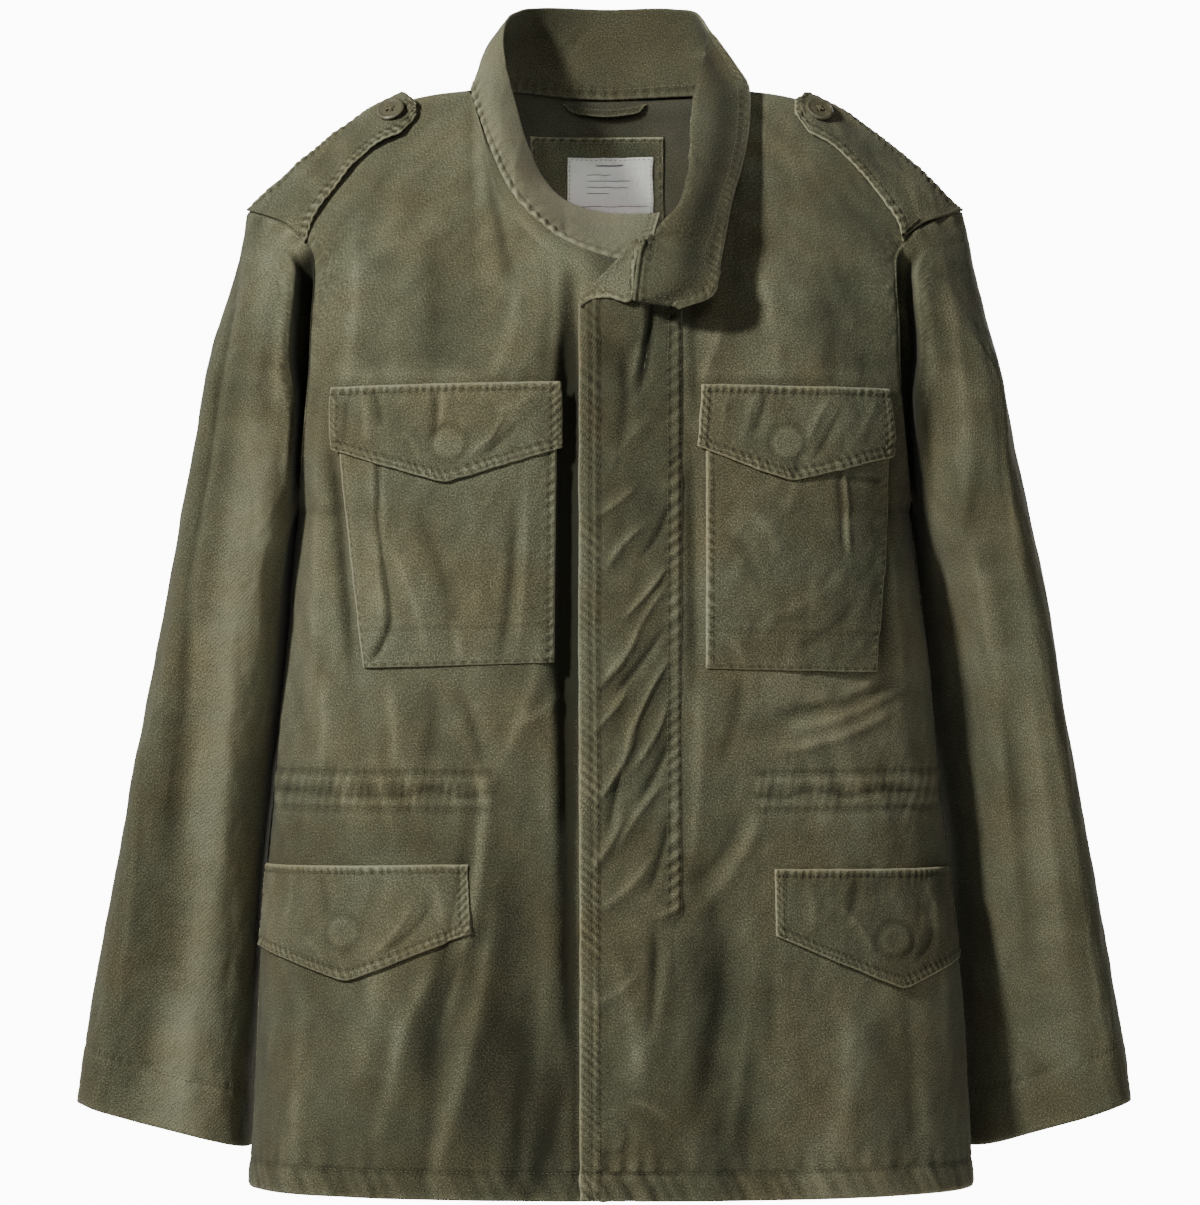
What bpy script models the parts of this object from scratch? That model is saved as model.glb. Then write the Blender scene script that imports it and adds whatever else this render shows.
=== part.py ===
"""A four-pocket cotton field jacket with a stand collar, filled out as if worn.

The jacket faces -Y and hangs from its shoulders. X runs to the wearer's left. The origin is the
middle of the line between the two neck points, where the shoulder seams meet the collar.
Tables and sizes are in millimetres; every mesh is in metres.
"""

import bpy
import bmesh
import numpy as np
from mathutils import Matrix, Vector

MM = 0.001

# Cloth
CLOTH = 1.5                 # wall of the body panels and sleeves
DOUBLE_CLOTH = 2.2          # flaps, straps and collar, which are two layers sewn together
TAPE = 1.2                  # wall of the loop and of the labels
SEAM_GAP = 0.5              # space left between two pieces that are sewn edge to edge
SLEEVE_GAP = (0.9, 1.3)     # the same round an armhole, and how much more at the shoulder point
COLLAR_TUCK = 2.8           # how far the collar's sewn edge lies inside the neckline
LAY_GAP = 1.0               # space between a panel and a piece that lies on it


def table(columns, *rows):
    """Rows of numbers under named columns."""
    return dict(zip(columns.split(), np.array(rows, float).T))


# ---------------------------------------------------------------- sizes of the body

HEM_Z = -773.0
ARMPIT_Z = -300.0
CHEST_Z = -205.0            # below this the body is a stack of level rings
NECK_SHARE = 0.42           # share of half a row that lies below the neckline
RIDGE = 3.0                 # width of the level strip along each side of the shoulder seam
NECK_BAND = 14.0            # width of the strip below the neckline

BODY = table(
    "z   half_width front_depth back_depth squareness shift",
    (-773, 254, 124, 118, 2.30, 4),
    (-700, 251, 122, 114, 2.30, 4),
    (-610, 246, 118, 107, 2.30, 3),
    (-505, 236, 113, 98, 2.30, 2),
    (-400, 226, 117, 104, 2.35, 2),
    (-300, 216, 121, 110, 2.40, 0),
    (-205, 206, 117, 110, 2.40, 0),
)

# The armhole seam: x at each height. Its depth follows a rounded loop.
ARMHOLE = table(
    "z   x",
    (-300, 216),
    (-255, 211),
    (-205, 206),
    (-165, 205.5),
    (-130, 213),
    (-105, 230),
    (-88, 252),
)
SHOULDER_POINT = np.array([252.0, -2.0, -88.0])
ARMHOLE_DEPTH = {"front": 66.0, "back": 72.0}
ARMHOLE_SQUARENESS = 2.3

# The shoulder seam from the neck point to the shoulder point
SHOULDER = table(
    "x   y   z",
    (95, -8, -2),
    (122, -5, -5),
    (150, -3, -12),
    (173, -2, -24),
    (196, -2, -41),
    (222, -2, -61),
    (252, -2, -88),
)

# The neckline, from the centre to the neck point, where the collar is sewn on. On the wearer's left
# the opened collar draws it lower.
NECKLINE = {
    "front_left": table(
        "x   y    z",
        (0, -111, -123.5),
        (12, -112.5, -128),
        (24, -112, -128.5),
        (36, -106, -121),
        (50, -96, -108),
        (62, -82, -90),
        (74, -62, -64),
        (84, -36, -30),
        (95, -8, -2),
    ),
    "front_right": table(
        "x   y    z",
        (0, -111, -123.5),
        (22, -106, -114.5),
        (38, -98, -105),
        (52, -87.5, -92),
        (67, -71.5, -73),
        (78, -54.5, -49.5),
        (88, -31, -22.5),
        (95, -8, -2),
    ),
    "back": table(
        "x   y    z",
        (0, 76, -1),
        (35, 73, 1),
        (62, 60, 3),
        (82, 38, 4),
        (93, 14, 2),
        (95, -8, -2),
    ),
}

# Largest folds of the body, drawn on its front or back view: a trough (positive depth) or a ridge
# along a line from one point to the other
FRONT_FOLDS = table(
    "x0   z0    x1   z1   half_width depth",
    (-112, -455, -124, -540, 20, 2.5),
    (-150, -120, -172, -200, 18, 3.0),
    (-70, -150, -95, -205, 22, 2.0),
    (-62, -545, -88, -745, 16, 3.5),
    (-130, -640, -150, -760, 20, 2.5),
    (-104, -640, -116, -770, 14, -2.0),
    (76, -560, 80, -750, 17, 4.5),
    (100, -452, 210, -424, 12, 2.5),
    (60, -640, 64, -770, 15, -2.0),
    (170, -130, 186, -205, 16, 3.0),
    (120, -120, 140, -205, 20, -2.0),
    (200, -650, 214, -765, 16, 2.5),
    (-232, -494, -80, -492, 9, 2.2),
    (110, -494, 236, -495, 9, 2.2),
)
BACK_FOLDS = table(
    "x0   z0    x1   z1   half_width depth",
    (-60, -160, -72, -470, 24, 4.0),
    (78, -170, 66, -460, 24, 4.0),
    (-150, -180, -120, -330, 20, 4.5),
    (152, -190, 126, -340, 20, 4.5),
    (-110, -520, -126, -765, 22, 4.5),
    (20, -515, 28, -765, 24, 4.0),
    (128, -525, 142, -765, 22, 4.5),
    (-30, -540, -44, -765, 20, -3.0),
    (80, -540, 88, -765, 20, -3.0),
    (-236, -494, 236, -494, 9, 2.5),
)

# ---------------------------------------------------------------- sizes of the other pieces

# Sleeve rings below the armhole: the outer and inner points seen from the front, the middle's
# depth, half the ring's depth, and how much further back the inner point lies than the outer one
SLEEVE = table(
    "outer_x outer_z inner_x inner_z middle_y half_depth turn",
    (269, -168, 221.5, -318, 2, 78, 4),
    (288, -262, 227, -352, 6, 80, 10),
    (308, -362, 235.5, -420, 12, 76, 18),
    (330, -474, 245, -520, 19, 67, 26),
    (351, -588, 252, -632, 25, 55, 32),
    (366, -672, 255, -712, 28, 44, 34),
    (372, -714, 256, -749, 29, 38, 34),
)

# The collar: its seam on the neckline, the line where it stands highest or rolls over, its free edge
COLLAR = table(
    "seam_x seam_y seam_z  roll_x roll_y roll_z  edge_x edge_y edge_z",
    (30, -107.5, -127, 33, -88, -110, 38, -62, -92),
    (4, -108.5, -124.5, 4, -87, -108, 4, -58, -92),
    (-22, -106, -114, -21, -83, -100, -20, -54, -86),
    (-52, -87.5, -91.5, -47, -67, -79, -41, -43, -69),
    (-67, -71.5, -72.5, -61, -55, -55, -54, -33, -42),
    (-78, -54.5, -49, -72, -39, -29, -63, -17, -12),
    (-88, -31, -22, -81, -19, 1, -70, -4, 18),
    (-95, -7, -1, -86, 2, 22, -72, 12, 40),
    (-93, 14, 3, -84, 20, 32, -69, 26, 53),
    (-82, 38, 5, -75, 41, 35, -60, 44, 60),
    (-62, 60, 4, -57, 61, 34, -47, 58, 63),
    (0, 76, 0, 0, 76, 31, 0, 71, 63),
    (62, 60, 4, 58, 61, 34, 50, 57, 62),
    (82, 38, 5, 76, 41, 33, 66, 43, 57),
    (93, 14, 3, 72, 20, 40, 77, 10, 37),
    (95, -7, -1, 66, 1, 19, 92, -14, 14),
    (84, -35, -29, 59, -24, -15, 101, -35, -8),
    (74, -61, -63, 57, -46, -45, 98.5, -60, -40),
    (62, -81, -89, 55.5, -66, -71, 93, -80, -64),
    (50, -96, -107, 48, -84, -91, 86, -97, -89),
    (36, -106, -120, 38, -99, -102, 82, -110, -112),
    (27, -118, -117, 33, -114, -111, 79, -116, -128),
    (21.5, -125, -131, 46, -124, -134, 75, -126, -144),
    (19.5, -128, -149, 44, -129, -152, 69, -130, -155),
    (19, -128, -156, 40, -130, -159, 58, -131, -161),
)

# Front opening: the wearer's right front runs under the left one, and the placket covers both
RIGHT_FRONT_EDGE_X = 36.0
LEFT_FRONT_EDGE_X = 22.0
UNDERLAP_INSET = 2.8        # how far the right front lies behind the left one
PLACKET_X = (-17.5, 53.0)
PLACKET_TOP = table("x z", (-17.5, -158), (6, -132), (24, -132), (36, -125), (53, -108))

# The placket's top corner, folded back with the collar: the fold, and the outer edge with the
# collar's seam
TURNED_CORNER = table(
    "fold_x fold_y fold_z  edge_x edge_y edge_z",
    (-17.9, -122, -156, -17.8, -122.5, -159.5),
    (-9, -122.5, -146.5, -9, -123.5, -154.5),
    (0, -122.5, -137.5, 3, -125.5, -153.5),
    (9, -121.5, -127.5, 18, -128, -155),
    (16, -119, -119.5, 19.5, -125, -131.5),
    (22, -117.5, -114, 23.2, -119.5, -118.5),
)

# Pieces that lie on the fronts, seen from the front: (x, z) corners. A flap's lower edge comes to
# a point between its two lower corners.
CHEST_POCKET = {
    "right": {"top": ((-184, -232), (-33, -232)), "bottom": ((-166, -408), (-35, -404))},
    "left": {"top": ((69, -236), (193, -236)), "bottom": ((69, -408), (186, -411))},
}
CHEST_FLAP = {
    "right": {"top": ((-189, -214), (-30.5, -211)), "bottom": ((-186, -257), (-30, -257)), "point": ((-109, -281),)},
    "left": {"top": ((66, -213), (197, -215)), "bottom": ((63, -256), (194, -261)), "point": ((125, -280),)},
}
LOWER_FLAP = {
    "right": {"top": ((-237, -546), (-93.5, -543)), "bottom": ((-242, -604), (-92, -590)), "point": ((-178, -625),)},
    "left": {"top": ((116, -546), (240, -548)), "bottom": ((117, -592), (248, -612)), "point": ((206, -631),)},
}
POCKET_PUFF = 2.8           # how far the middle of a chest pocket stands off its edges
FLAP_PUFF = 1.5

# Shoulder straps: measured along the shoulder seam from the armhole, and across it, forwards
STRAP_LENGTH = 146.0
STRAP_TIP = 12.0            # length of the pointed end
STRAP_WIDTH = (50.0, 41.0)  # at the armhole and before the tip
STRAP_FORWARD = 18.0        # how far its middle line lies in front of the seam
STRAP_LIFT = (0.8, 2.7, 3.8)    # off the shoulder at its seam, in its middle, at its buttoned end
BUTTON_RADIUS = 10.0
BUTTON_THICKNESS = 3.2
BUTTON_HOLE_RADIUS = 1.2
BUTTON_HOLE_SPREAD = 2.6    # from the button's middle to each of its four holes
BUTTON_FROM_TIP = 17.0

# Inside of the back of the neck, seen from the front
LOOP = table(
    "x   z    off",
    (-27, -6, 1.1),
    (-24, -8, 1.8),
    (-14, -12, 2.9),
    (0, -14, 3.2),
    (14, -12, 2.9),
    (24, -8, 1.8),
    (27, -6, 1.1),
)
LOOP_WIDTH = 6.0
PATCH = {"x": (-55, 43), "z": (-106, -27)}
LABEL = {"x": (-28, 36), "z": (-90, -41)}

OLIVE = (0.105, 0.100, 0.062)
OLIVE_DARK = (0.085, 0.082, 0.054)
BUTTON_GREY = (0.16, 0.155, 0.12)
LABEL_WHITE = (0.62, 0.64, 0.60)


# ---------------------------------------------------------------- curves

def through(knots, values, t):
    """The smooth curve that passes through values at knots, read at t. Each stretch is a cubic
    whose end slopes are those of the neighbouring values."""
    knots = np.asarray(knots, float)
    values = np.asarray(values, float)
    t = np.asarray(t, float)
    slopes = np.gradient(values, knots, axis=0)
    i = np.clip(np.searchsorted(knots, t, side="right") - 1, 0, len(knots) - 2)
    width = knots[i + 1] - knots[i]
    f = (t - knots[i]) / width
    shape = t.shape + (1,) * (values.ndim - 1)
    f, width = f.reshape(shape), width.reshape(shape)
    return (
        (1 + 2 * f) * (1 - f) ** 2 * values[i]
        + f * (1 - f) ** 2 * width * slopes[i]
        + f * f * (3 - 2 * f) * values[i + 1]
        + f * f * (f - 1) * width * slopes[i + 1]
    )


def hermite(start, end, leave, arrive, t):
    """The cubic from start to end that leaves and arrives along the two given vectors."""
    return (
        (1 + 2 * t) * (1 - t) ** 2 * start
        + t * (1 - t) ** 2 * leave
        + t * t * (3 - 2 * t) * end
        + t * t * (t - 1) * arrive
    )


def smooth_step(t):
    t = np.clip(t, 0, 1)
    return t * t * (3 - 2 * t)


def bump(t):
    """Rises from 0 at t = 0 to 1, stays there, and falls to 0 at t = 1."""
    return smooth_step(t / 0.3) * smooth_step((1 - t) / 0.3)


def path_length(points):
    """Length from the first point to each point of a path, in millimetres."""
    steps = np.linalg.norm(np.diff(points, axis=0), axis=1)
    return np.concatenate([[0], np.cumsum(steps)])


def share_of_path(points):
    length = path_length(points)
    return length / length[-1]


def read_path(points, length, at):
    """Points of a path at the given lengths."""
    return np.stack([np.interp(at, length, points[:, k]) for k in range(3)], -1)


def xyz(columns, prefix=""):
    return np.stack([columns[prefix + axis] for axis in "xyz"], -1)


# ---------------------------------------------------------------- the body's form

def armhole(face, turn):
    """A point of the armhole seam on the wearer's left. turn runs from 0 at the shoulder point to
    1 at the armpit, along one half of an upright rounded loop."""
    middle_z = (SHOULDER_POINT[2] + ARMPIT_Z) / 2
    half_height = (SHOULDER_POINT[2] - ARMPIT_Z) / 2
    angle = np.pi * np.asarray(turn, float)
    power = 2 / ARMHOLE_SQUARENESS
    z = middle_z + half_height * np.sign(np.cos(angle)) * np.abs(np.cos(angle)) ** power
    forward = -1 if face == "front" else 1
    y = forward * (ARMHOLE_DEPTH[face] * np.abs(np.sin(angle)) ** power + 0.5 * SEAM_GAP)
    y = y + SHOULDER_POINT[1] * (1 - turn)
    return np.stack([through(ARMHOLE["z"], ARMHOLE["x"], z), y, z], -1)


def armhole_turn(z):
    """The turn at which the armhole seam passes height z."""
    middle_z = (SHOULDER_POINT[2] + ARMPIT_Z) / 2
    half_height = (SHOULDER_POINT[2] - ARMPIT_Z) / 2
    high = np.clip((z - middle_z) / half_height, -1, 1)
    return np.arccos(np.sign(high) * np.abs(high) ** (ARMHOLE_SQUARENESS / 2)) / np.pi


def level_row(face, side, z, share):
    """Points of the body at one height, from the centre to the side seam or armhole: a quarter of
    a superellipse, cut where it meets the armhole, read at shares of its length."""
    half_width, depth, power, shift = (
        through(BODY["z"], BODY[name], z)
        for name in ("half_width", face + "_depth", "squareness", "shift")
    )
    forward = -1 if face == "front" else 1
    end_y = 0.5 * SEAM_GAP
    if z >= ARMPIT_Z:
        half_width, end_y = np.abs(armhole(face, armhole_turn(z))[:2])
        half_width = half_width / (1 - (end_y / depth) ** power) ** (1 / power)
        shift = 0
    last = np.arccos((end_y / depth) ** (power / 2))
    angle = np.linspace(0, last, 240)
    x = side * (half_width + side * shift) * np.sin(angle) ** (2 / power)
    y = forward * depth * np.cos(angle) ** (2 / power)
    row = np.stack([x, y, np.full_like(x, z)], -1)
    length = path_length(row)
    return read_path(row, length, share * length[-1])


def top_edge(face, side, share):
    """The upper edge of a panel: the neckline up to NECK_SHARE, then the shoulder seam."""
    neck = xyz(NECKLINE["back" if face == "back" else "front_left" if side > 0 else "front_right"])
    seam = xyz(SHOULDER)
    on_neck = through(share_of_path(neck), neck, np.clip(share / NECK_SHARE, 0, 1))
    on_seam = through(share_of_path(seam), seam, np.clip((share - NECK_SHARE) / (1 - NECK_SHARE), 0, 1))
    forward = -1 if face == "front" else 1
    on_seam[:, 1] += forward * 0.5 * SEAM_GAP
    edge = np.where((share < NECK_SHARE)[:, None], on_neck, on_seam)
    edge[:, 0] *= side
    return edge


def yoke(face, side, share, rise):
    """The body above CHEST_Z. rise runs from 0 there to 1 at the panel's upper edge. Each column is
    a cubic that ends on a level strip beside the shoulder seam, and the outermost columns are drawn
    onto the armhole seam."""
    back = 1 if face == "front" else -1
    foot = level_row(face, side, CHEST_Z, share)
    edge = top_edge(face, side, share)
    past_neck = smooth_step((share / NECK_SHARE - 0.55) / 0.45)[:, None]
    over = np.array([0.0, 0.35 * back, 0.94]) * (1 - past_neck) + np.array([0.0, back, 0.0]) * past_neck
    top = edge - over * (NECK_BAND + (RIDGE - NECK_BAND) * past_neck)
    reach = np.linalg.norm(top - foot, axis=1)[:, None]
    leave = reach * (np.array([0.0, 0.05 * back, 1.0]) * (1 - past_neck)
                     + np.array([0.0, 0.30 * back, 0.95]) * past_neck)
    arrive = reach * (np.array([0.0, 0.35 * back, 0.94]) * (1 - past_neck)
                      + np.array([0.0, 0.62 * back, 0.60]) * past_neck)
    t = np.asarray(rise[:-1], float)[:, None, None]
    points = hermite(foot[None], top[None], leave[None], arrive[None], t / t.max())
    points = np.concatenate([points, edge[None]])
    turn = armhole_turn(CHEST_Z) * (1 - rise)
    seam = armhole(face, turn) * [side, 1, 1]
    return points + (seam - points[:, -1])[:, None, :] * (share**5)[None, :, None]


def fold_depth(folds, x, z):
    """Summed depth of soft folds at (x, z): each is a bell across its line that fades at its ends."""
    depth = np.zeros(np.shape(x))
    for x0, z0, x1, z1, half_width, deep in zip(*folds.values()):
        run_x, run_z = x1 - x0, z1 - z0
        length = np.hypot(run_x, run_z)
        along = ((x - x0) * run_x + (z - z0) * run_z) / length**2
        aside = ((x - x0) * run_z - (z - z0) * run_x) / length
        ends = smooth_step((along + 0.15) / 0.3) * smooth_step((1.15 - along) / 0.3)
        depth += deep * np.exp(-((aside / half_width) ** 2)) * ends
    return depth


def grid_normals(grid):
    """Unit normals of a grid whose rows run upwards and whose columns run to the viewer's right."""
    normal = np.cross(np.gradient(grid, axis=1), np.gradient(grid, axis=0))
    return normal / np.maximum(np.linalg.norm(normal, axis=-1, keepdims=True), 1e-9)


def make_form(face):
    """The whole outer surface of the front or back as a fine grid of points and outward normals.
    Its columns are the signed share of half a row, and its rows a height: z up to CHEST_Z, and
    past it the rise, as if the yoke were 100 mm high."""
    share = np.linspace(0, 1, 101)
    near_armhole = ARMPIT_Z + (CHEST_Z - ARMPIT_Z) * np.linspace(0, 1, 40) ** 1.5
    low_z = np.concatenate([np.linspace(HEM_Z, ARMPIT_Z, 119)[:-1], near_armhole])
    rise = np.linspace(0, 1, 41)
    halves = []
    for side in (-1, 1):
        low = np.stack([level_row(face, side, z, share) for z in low_z])
        high = yoke(face, side, share, rise)[1:]
        halves.append(np.concatenate([low, high]))
    points = np.concatenate([halves[0][:, :0:-1], halves[1]], axis=1)
    outward = 1 if face == "front" else -1
    folds = FRONT_FOLDS if face == "front" else BACK_FOLDS
    normals = outward * grid_normals(points)
    points = points - normals * fold_depth(folds, points[..., 0], points[..., 2])[..., None]
    return {
        "share": np.concatenate([-share[:0:-1], share]),
        "height": np.concatenate([low_z, CHEST_Z + 100 * rise[1:]]),
        "points": points,
        "normals": outward * grid_normals(points),
    }


def read_form(form, share, height, lift=0.0):
    """Points of a form at (share, height), blended from its four nearest points and moved out
    along the normal by lift."""
    i = np.interp(height, form["height"], np.arange(len(form["height"])))
    j = np.interp(share, form["share"], np.arange(len(form["share"])))
    i0 = np.minimum(i.astype(int), len(form["height"]) - 2)
    j0 = np.minimum(j.astype(int), len(form["share"]) - 2)
    fi, fj = (i - i0)[..., None], (j - j0)[..., None]
    point, normal = (
        (1 - fi) * ((1 - fj) * values[i0, j0] + fj * values[i0, j0 + 1])
        + fi * ((1 - fj) * values[i0 + 1, j0] + fj * values[i0 + 1, j0 + 1])
        for values in (form["points"], form["normals"])
    )
    return point + normal * np.asarray(lift)[..., None]


def place_on_form(form, x, z):
    """The (share, height) whose point is seen at (x, z) from the front, found by Newton steps."""
    share = np.clip(np.asarray(x, float) / 330, -0.95, 0.95)
    height = np.where(z > CHEST_Z, CHEST_Z + 0.5 * (z - CHEST_Z), z) + 0 * share
    for _ in range(30):
        here = read_form(form, share, height)
        by_share = (read_form(form, share + 0.004, height) - here) / 0.004
        by_height = here - read_form(form, share, height - 1)
        off_x, off_z = x - here[..., 0], z - here[..., 2]
        size = by_share[..., 0] * by_height[..., 2] - by_share[..., 2] * by_height[..., 0]
        size = np.where(np.abs(size) < 1, 1, size)
        step_share = (off_x * by_height[..., 2] - off_z * by_height[..., 0]) / size
        step_height = (off_z * by_share[..., 0] - off_x * by_share[..., 2]) / size
        share = np.clip(share + np.clip(step_share, -0.1, 0.1), -0.985, 0.985)
        height = np.clip(height + np.clip(step_height, -20, 20), HEM_Z + 1, CHEST_Z + 99)
    return share, height


# ---------------------------------------------------------------- making pieces

def cloth_material(name, colour, roughness=0.85):
    material = bpy.data.materials.new(name)
    material.use_nodes = True
    shader = material.node_tree.nodes["Principled BSDF"]
    shader.inputs["Base Color"].default_value = (*colour, 1.0)
    shader.inputs["Roughness"].default_value = roughness
    shader.inputs["Metallic"].default_value = 0.0
    return material


def add_piece(name, mesh, colour, roughness=0.85):
    piece = bpy.data.objects.new(name, mesh)
    jacket.objects.link(piece)
    mesh.materials.append(cloth_material(name + "_cloth", colour, roughness))
    return piece


def grid_mesh(name, grid, wrap=False):
    """An open sheet of four-sided faces on a grid of points; wrap joins the last column to the
    first, as round a sleeve."""
    rows, columns = grid.shape[:2]
    index = np.arange(rows * columns).reshape(rows, columns)
    right = np.roll(index, -1, axis=1) if wrap else index[:, 1:]
    left = index if wrap else index[:, :-1]
    faces = np.stack([left[:-1], right[:-1], right[1:], left[1:]], -1).reshape(-1, 4)
    mesh = bpy.data.meshes.new(name)
    mesh.from_pydata((grid.reshape(-1, 3) * MM).tolist(), [], faces.tolist())
    mesh.update()
    mesh.shade_smooth()
    return mesh


def add_cloth(name, grid, thickness, colour=OLIVE, wrap=False, grow_out=False):
    """A wall of cloth: the sheet is its outer face, or its inner face where it grows outwards."""
    piece = add_piece(name, grid_mesh(name, grid, wrap), colour)
    wall = piece.modifiers.new("Wall", "SOLIDIFY")
    wall.thickness = thickness * MM
    wall.offset = 1.0 if grow_out else -1.0
    wall.use_rim = True
    return piece


# ---------------------------------------------------------------- fronts and back

def panel_heights():
    """Heights of a panel's rows: close together at the waist casing, at the armpit, where the
    armhole turns quickly, and below the shoulder seam."""
    return np.concatenate([
        np.linspace(HEM_Z, -515, 8),
        [-503, -494, -485, -466, -430, -390, -350, -322],
        [ARMPIT_Z, -296, -284, -262, -234],
        CHEST_Z + 100 * np.array([0, 0.15, 0.3, 0.45, 0.6, 0.74, 0.87, 0.975, 1.0]),
    ])


def column_shares(start, inner, outer):
    """Column shares from start to 1 with one column on the neck point."""
    to_neck = np.linspace(0, 1, inner + 1)[:-1]
    to_armhole = np.linspace(0, 1, outer + 1)
    return np.concatenate([start + (NECK_SHARE - start) * to_neck, NECK_SHARE + (1 - NECK_SHARE) * to_armhole])


def front_grid(side_name, inner, outer):
    """One front: its rows start where the opening's edge crosses them and end at the side."""
    side = 1 if side_name == "left" else -1
    edge_x = LEFT_FRONT_EDGE_X if side_name == "left" else RIGHT_FRONT_EDGE_X
    rows = []
    for height in panel_heights():
        row = read_form(FRONT, FRONT["share"], np.full(len(FRONT["share"]), height))
        start = side * np.interp(edge_x, row[:, 0], FRONT["share"])
        share = side * column_shares(start, inner, outer)
        rows.append(read_form(FRONT, share, np.full(len(share), height)))
    grid = np.stack(rows)
    if side < 0:
        inset = UNDERLAP_INSET * smooth_step((grid[..., 0] + 18) / 24)
        grid[..., 1] += inset
        grid = grid[:, ::-1]
    return grid


def add_fronts():
    add_cloth("front_left", front_grid("left", 7, 8), CLOTH)
    add_cloth("front_right", front_grid("right", 7, 8), CLOTH)


def add_back():
    heights = panel_heights()
    half = column_shares(0.0, 5, 8)
    share = np.concatenate([-half[:0:-1], half])
    grid = read_form(BACK, *np.meshgrid(share, heights))
    add_cloth("back", grid[:, ::-1], CLOTH)


# ---------------------------------------------------------------- sleeves

def armhole_turns():
    """Turns of the armhole seam at the ends of the panels' rows, from the armpit to the shoulder."""
    heights = panel_heights()
    level = heights[(heights >= ARMPIT_Z) & (heights < CHEST_Z)]
    rise = (heights[heights >= CHEST_Z] - CHEST_Z) / 100
    return np.concatenate([armhole_turn(level), armhole_turn(CHEST_Z) * (1 - rise)])


def sleeve_grid(side, half_turns, along):
    """Rings of a sleeve from the armhole to the cuff. Each ring starts at its outer point and
    runs round the front to the inner side, and each lengthwise line is a smooth curve."""
    turn = np.concatenate([half_turns[::-1], 2 - half_turns[1:-1]])
    angle = np.pi * turn
    top = np.where((turn <= 1)[:, None], armhole("front", turn), armhole("back", 2 - turn))
    top[0, 1] = SHOULDER_POINT[1]
    lean = np.stack([0 * SLEEVE["turn"], SLEEVE["turn"] / 2, 0 * SLEEVE["turn"]], -1)
    centre_y = SLEEVE["middle_y"]
    outer = np.stack([SLEEVE["outer_x"], centre_y, SLEEVE["outer_z"]], -1) - lean
    inner = np.stack([SLEEVE["inner_x"], centre_y, SLEEVE["inner_z"]], -1) + lean
    middle, reach = (outer + inner) / 2, (outer - inner) / 2
    deep = SLEEVE["half_depth"][:, None, None] * np.array([0, -1.0, 0])
    swing = angle[None, :, None]
    rings = middle[:, None] + reach[:, None] * np.cos(swing) + deep * np.sin(swing)
    towards = rings[0] - top
    gap = SLEEVE_GAP[0] + SLEEVE_GAP[1] * np.maximum(np.cos(angle), 0)
    first = top + towards * (gap / np.linalg.norm(towards, axis=1))[:, None]
    rings = np.concatenate([first[None], rings])
    middles = np.concatenate([top.mean(0)[None], middle])
    grid = through(share_of_path(middles), rings, np.linspace(0, 1, along + 1))
    grid[..., 0] *= side
    return grid[::-1, ::-1] if side > 0 else grid[::-1]


def add_sleeves():
    for name, side in (("sleeve_left", 1), ("sleeve_right", -1)):
        add_cloth(name, sleeve_grid(side, armhole_turns(), 15), CLOTH, wrap=True)


# ---------------------------------------------------------------- collar

def over_the_crest(first, crest, last, rows, bend=9.0):
    """Rows of points from first over crest to last: two straight stretches and a round bend."""
    low = np.linalg.norm(crest - first, axis=1)
    high = np.linalg.norm(last - crest, axis=1)
    before = crest + (first - crest) * (np.minimum(bend, 0.45 * low) / low)[:, None]
    after = crest + (last - crest) * (np.minimum(bend, 0.45 * high) / high)[:, None]
    straight = rows // 3
    f = np.linspace(0, 1, straight + 1)[:, None, None]
    turn = np.linspace(0, 1, rows - 2 * straight + 1)[1:-1, None, None]
    rise = first + (before - first) * f
    round_part = (1 - turn) ** 2 * before + 2 * turn * (1 - turn) * crest + turn**2 * after
    return np.concatenate([rise, round_part, after + (last - after) * f])


def collar_grid(columns, rows):
    """The collar from the wearer's right front round the back, rows from its seam to its edge."""
    seam, roll, edge = xyz(COLLAR, "seam_"), xyz(COLLAR, "roll_"), xyz(COLLAR, "edge_")
    knots = share_of_path(roll)
    t = np.linspace(0, 1, columns)
    seam, roll, edge = (through(knots, line, t) for line in (seam, roll, edge))
    run = np.gradient(seam, axis=0)
    inward = np.stack([run[:, 1], -run[:, 0], 0 * t], -1)
    inward /= np.linalg.norm(inward, axis=1, keepdims=True)
    sewn_inside = smooth_step((seam[:, 1] + 118) / 8)[:, None]
    seam = seam + sewn_inside * (COLLAR_TUCK * inward - [0, 0, 1.0])
    return over_the_crest(seam, roll, edge, rows)


def add_collar():
    add_cloth("collar", collar_grid(52, 8), DOUBLE_CLOTH, grow_out=True)


# ---------------------------------------------------------------- front placket and pockets

def between(start, end, t):
    return np.asarray(start) + (np.asarray(end) - np.asarray(start)) * np.asarray(t)[..., None]


def add_placket():
    """The storm placket: a strip down the whole front over both edges of the opening, and its top
    corner, which lies folded back on it."""
    x = np.linspace(*PLACKET_X, 8)
    up = np.linspace(0, 1, 26)[:, None]
    z = HEM_Z + 0.5 + (np.interp(x, PLACKET_TOP["x"], PLACKET_TOP["z"]) - HEM_Z - 0.5) * up
    share, height = place_on_form(FRONT, x + 0 * z, z)
    lift = LAY_GAP + 1.2 * smooth_step((z + 200) / 60)
    add_cloth("storm_placket", read_form(FRONT, share, height, lift), DOUBLE_CLOTH, grow_out=True)
    fold, edge = xyz(TURNED_CORNER, "fold_"), xyz(TURNED_CORNER, "edge_")
    s = np.linspace(0, 1, 11)
    fold, edge = (through(share_of_path(fold), line, s) for line in (fold, edge))
    t = np.linspace(1, 0, 5)[:, None, None]
    add_cloth("placket_corner", fold + (edge - fold) * t, DOUBLE_CLOTH, grow_out=True)


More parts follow.
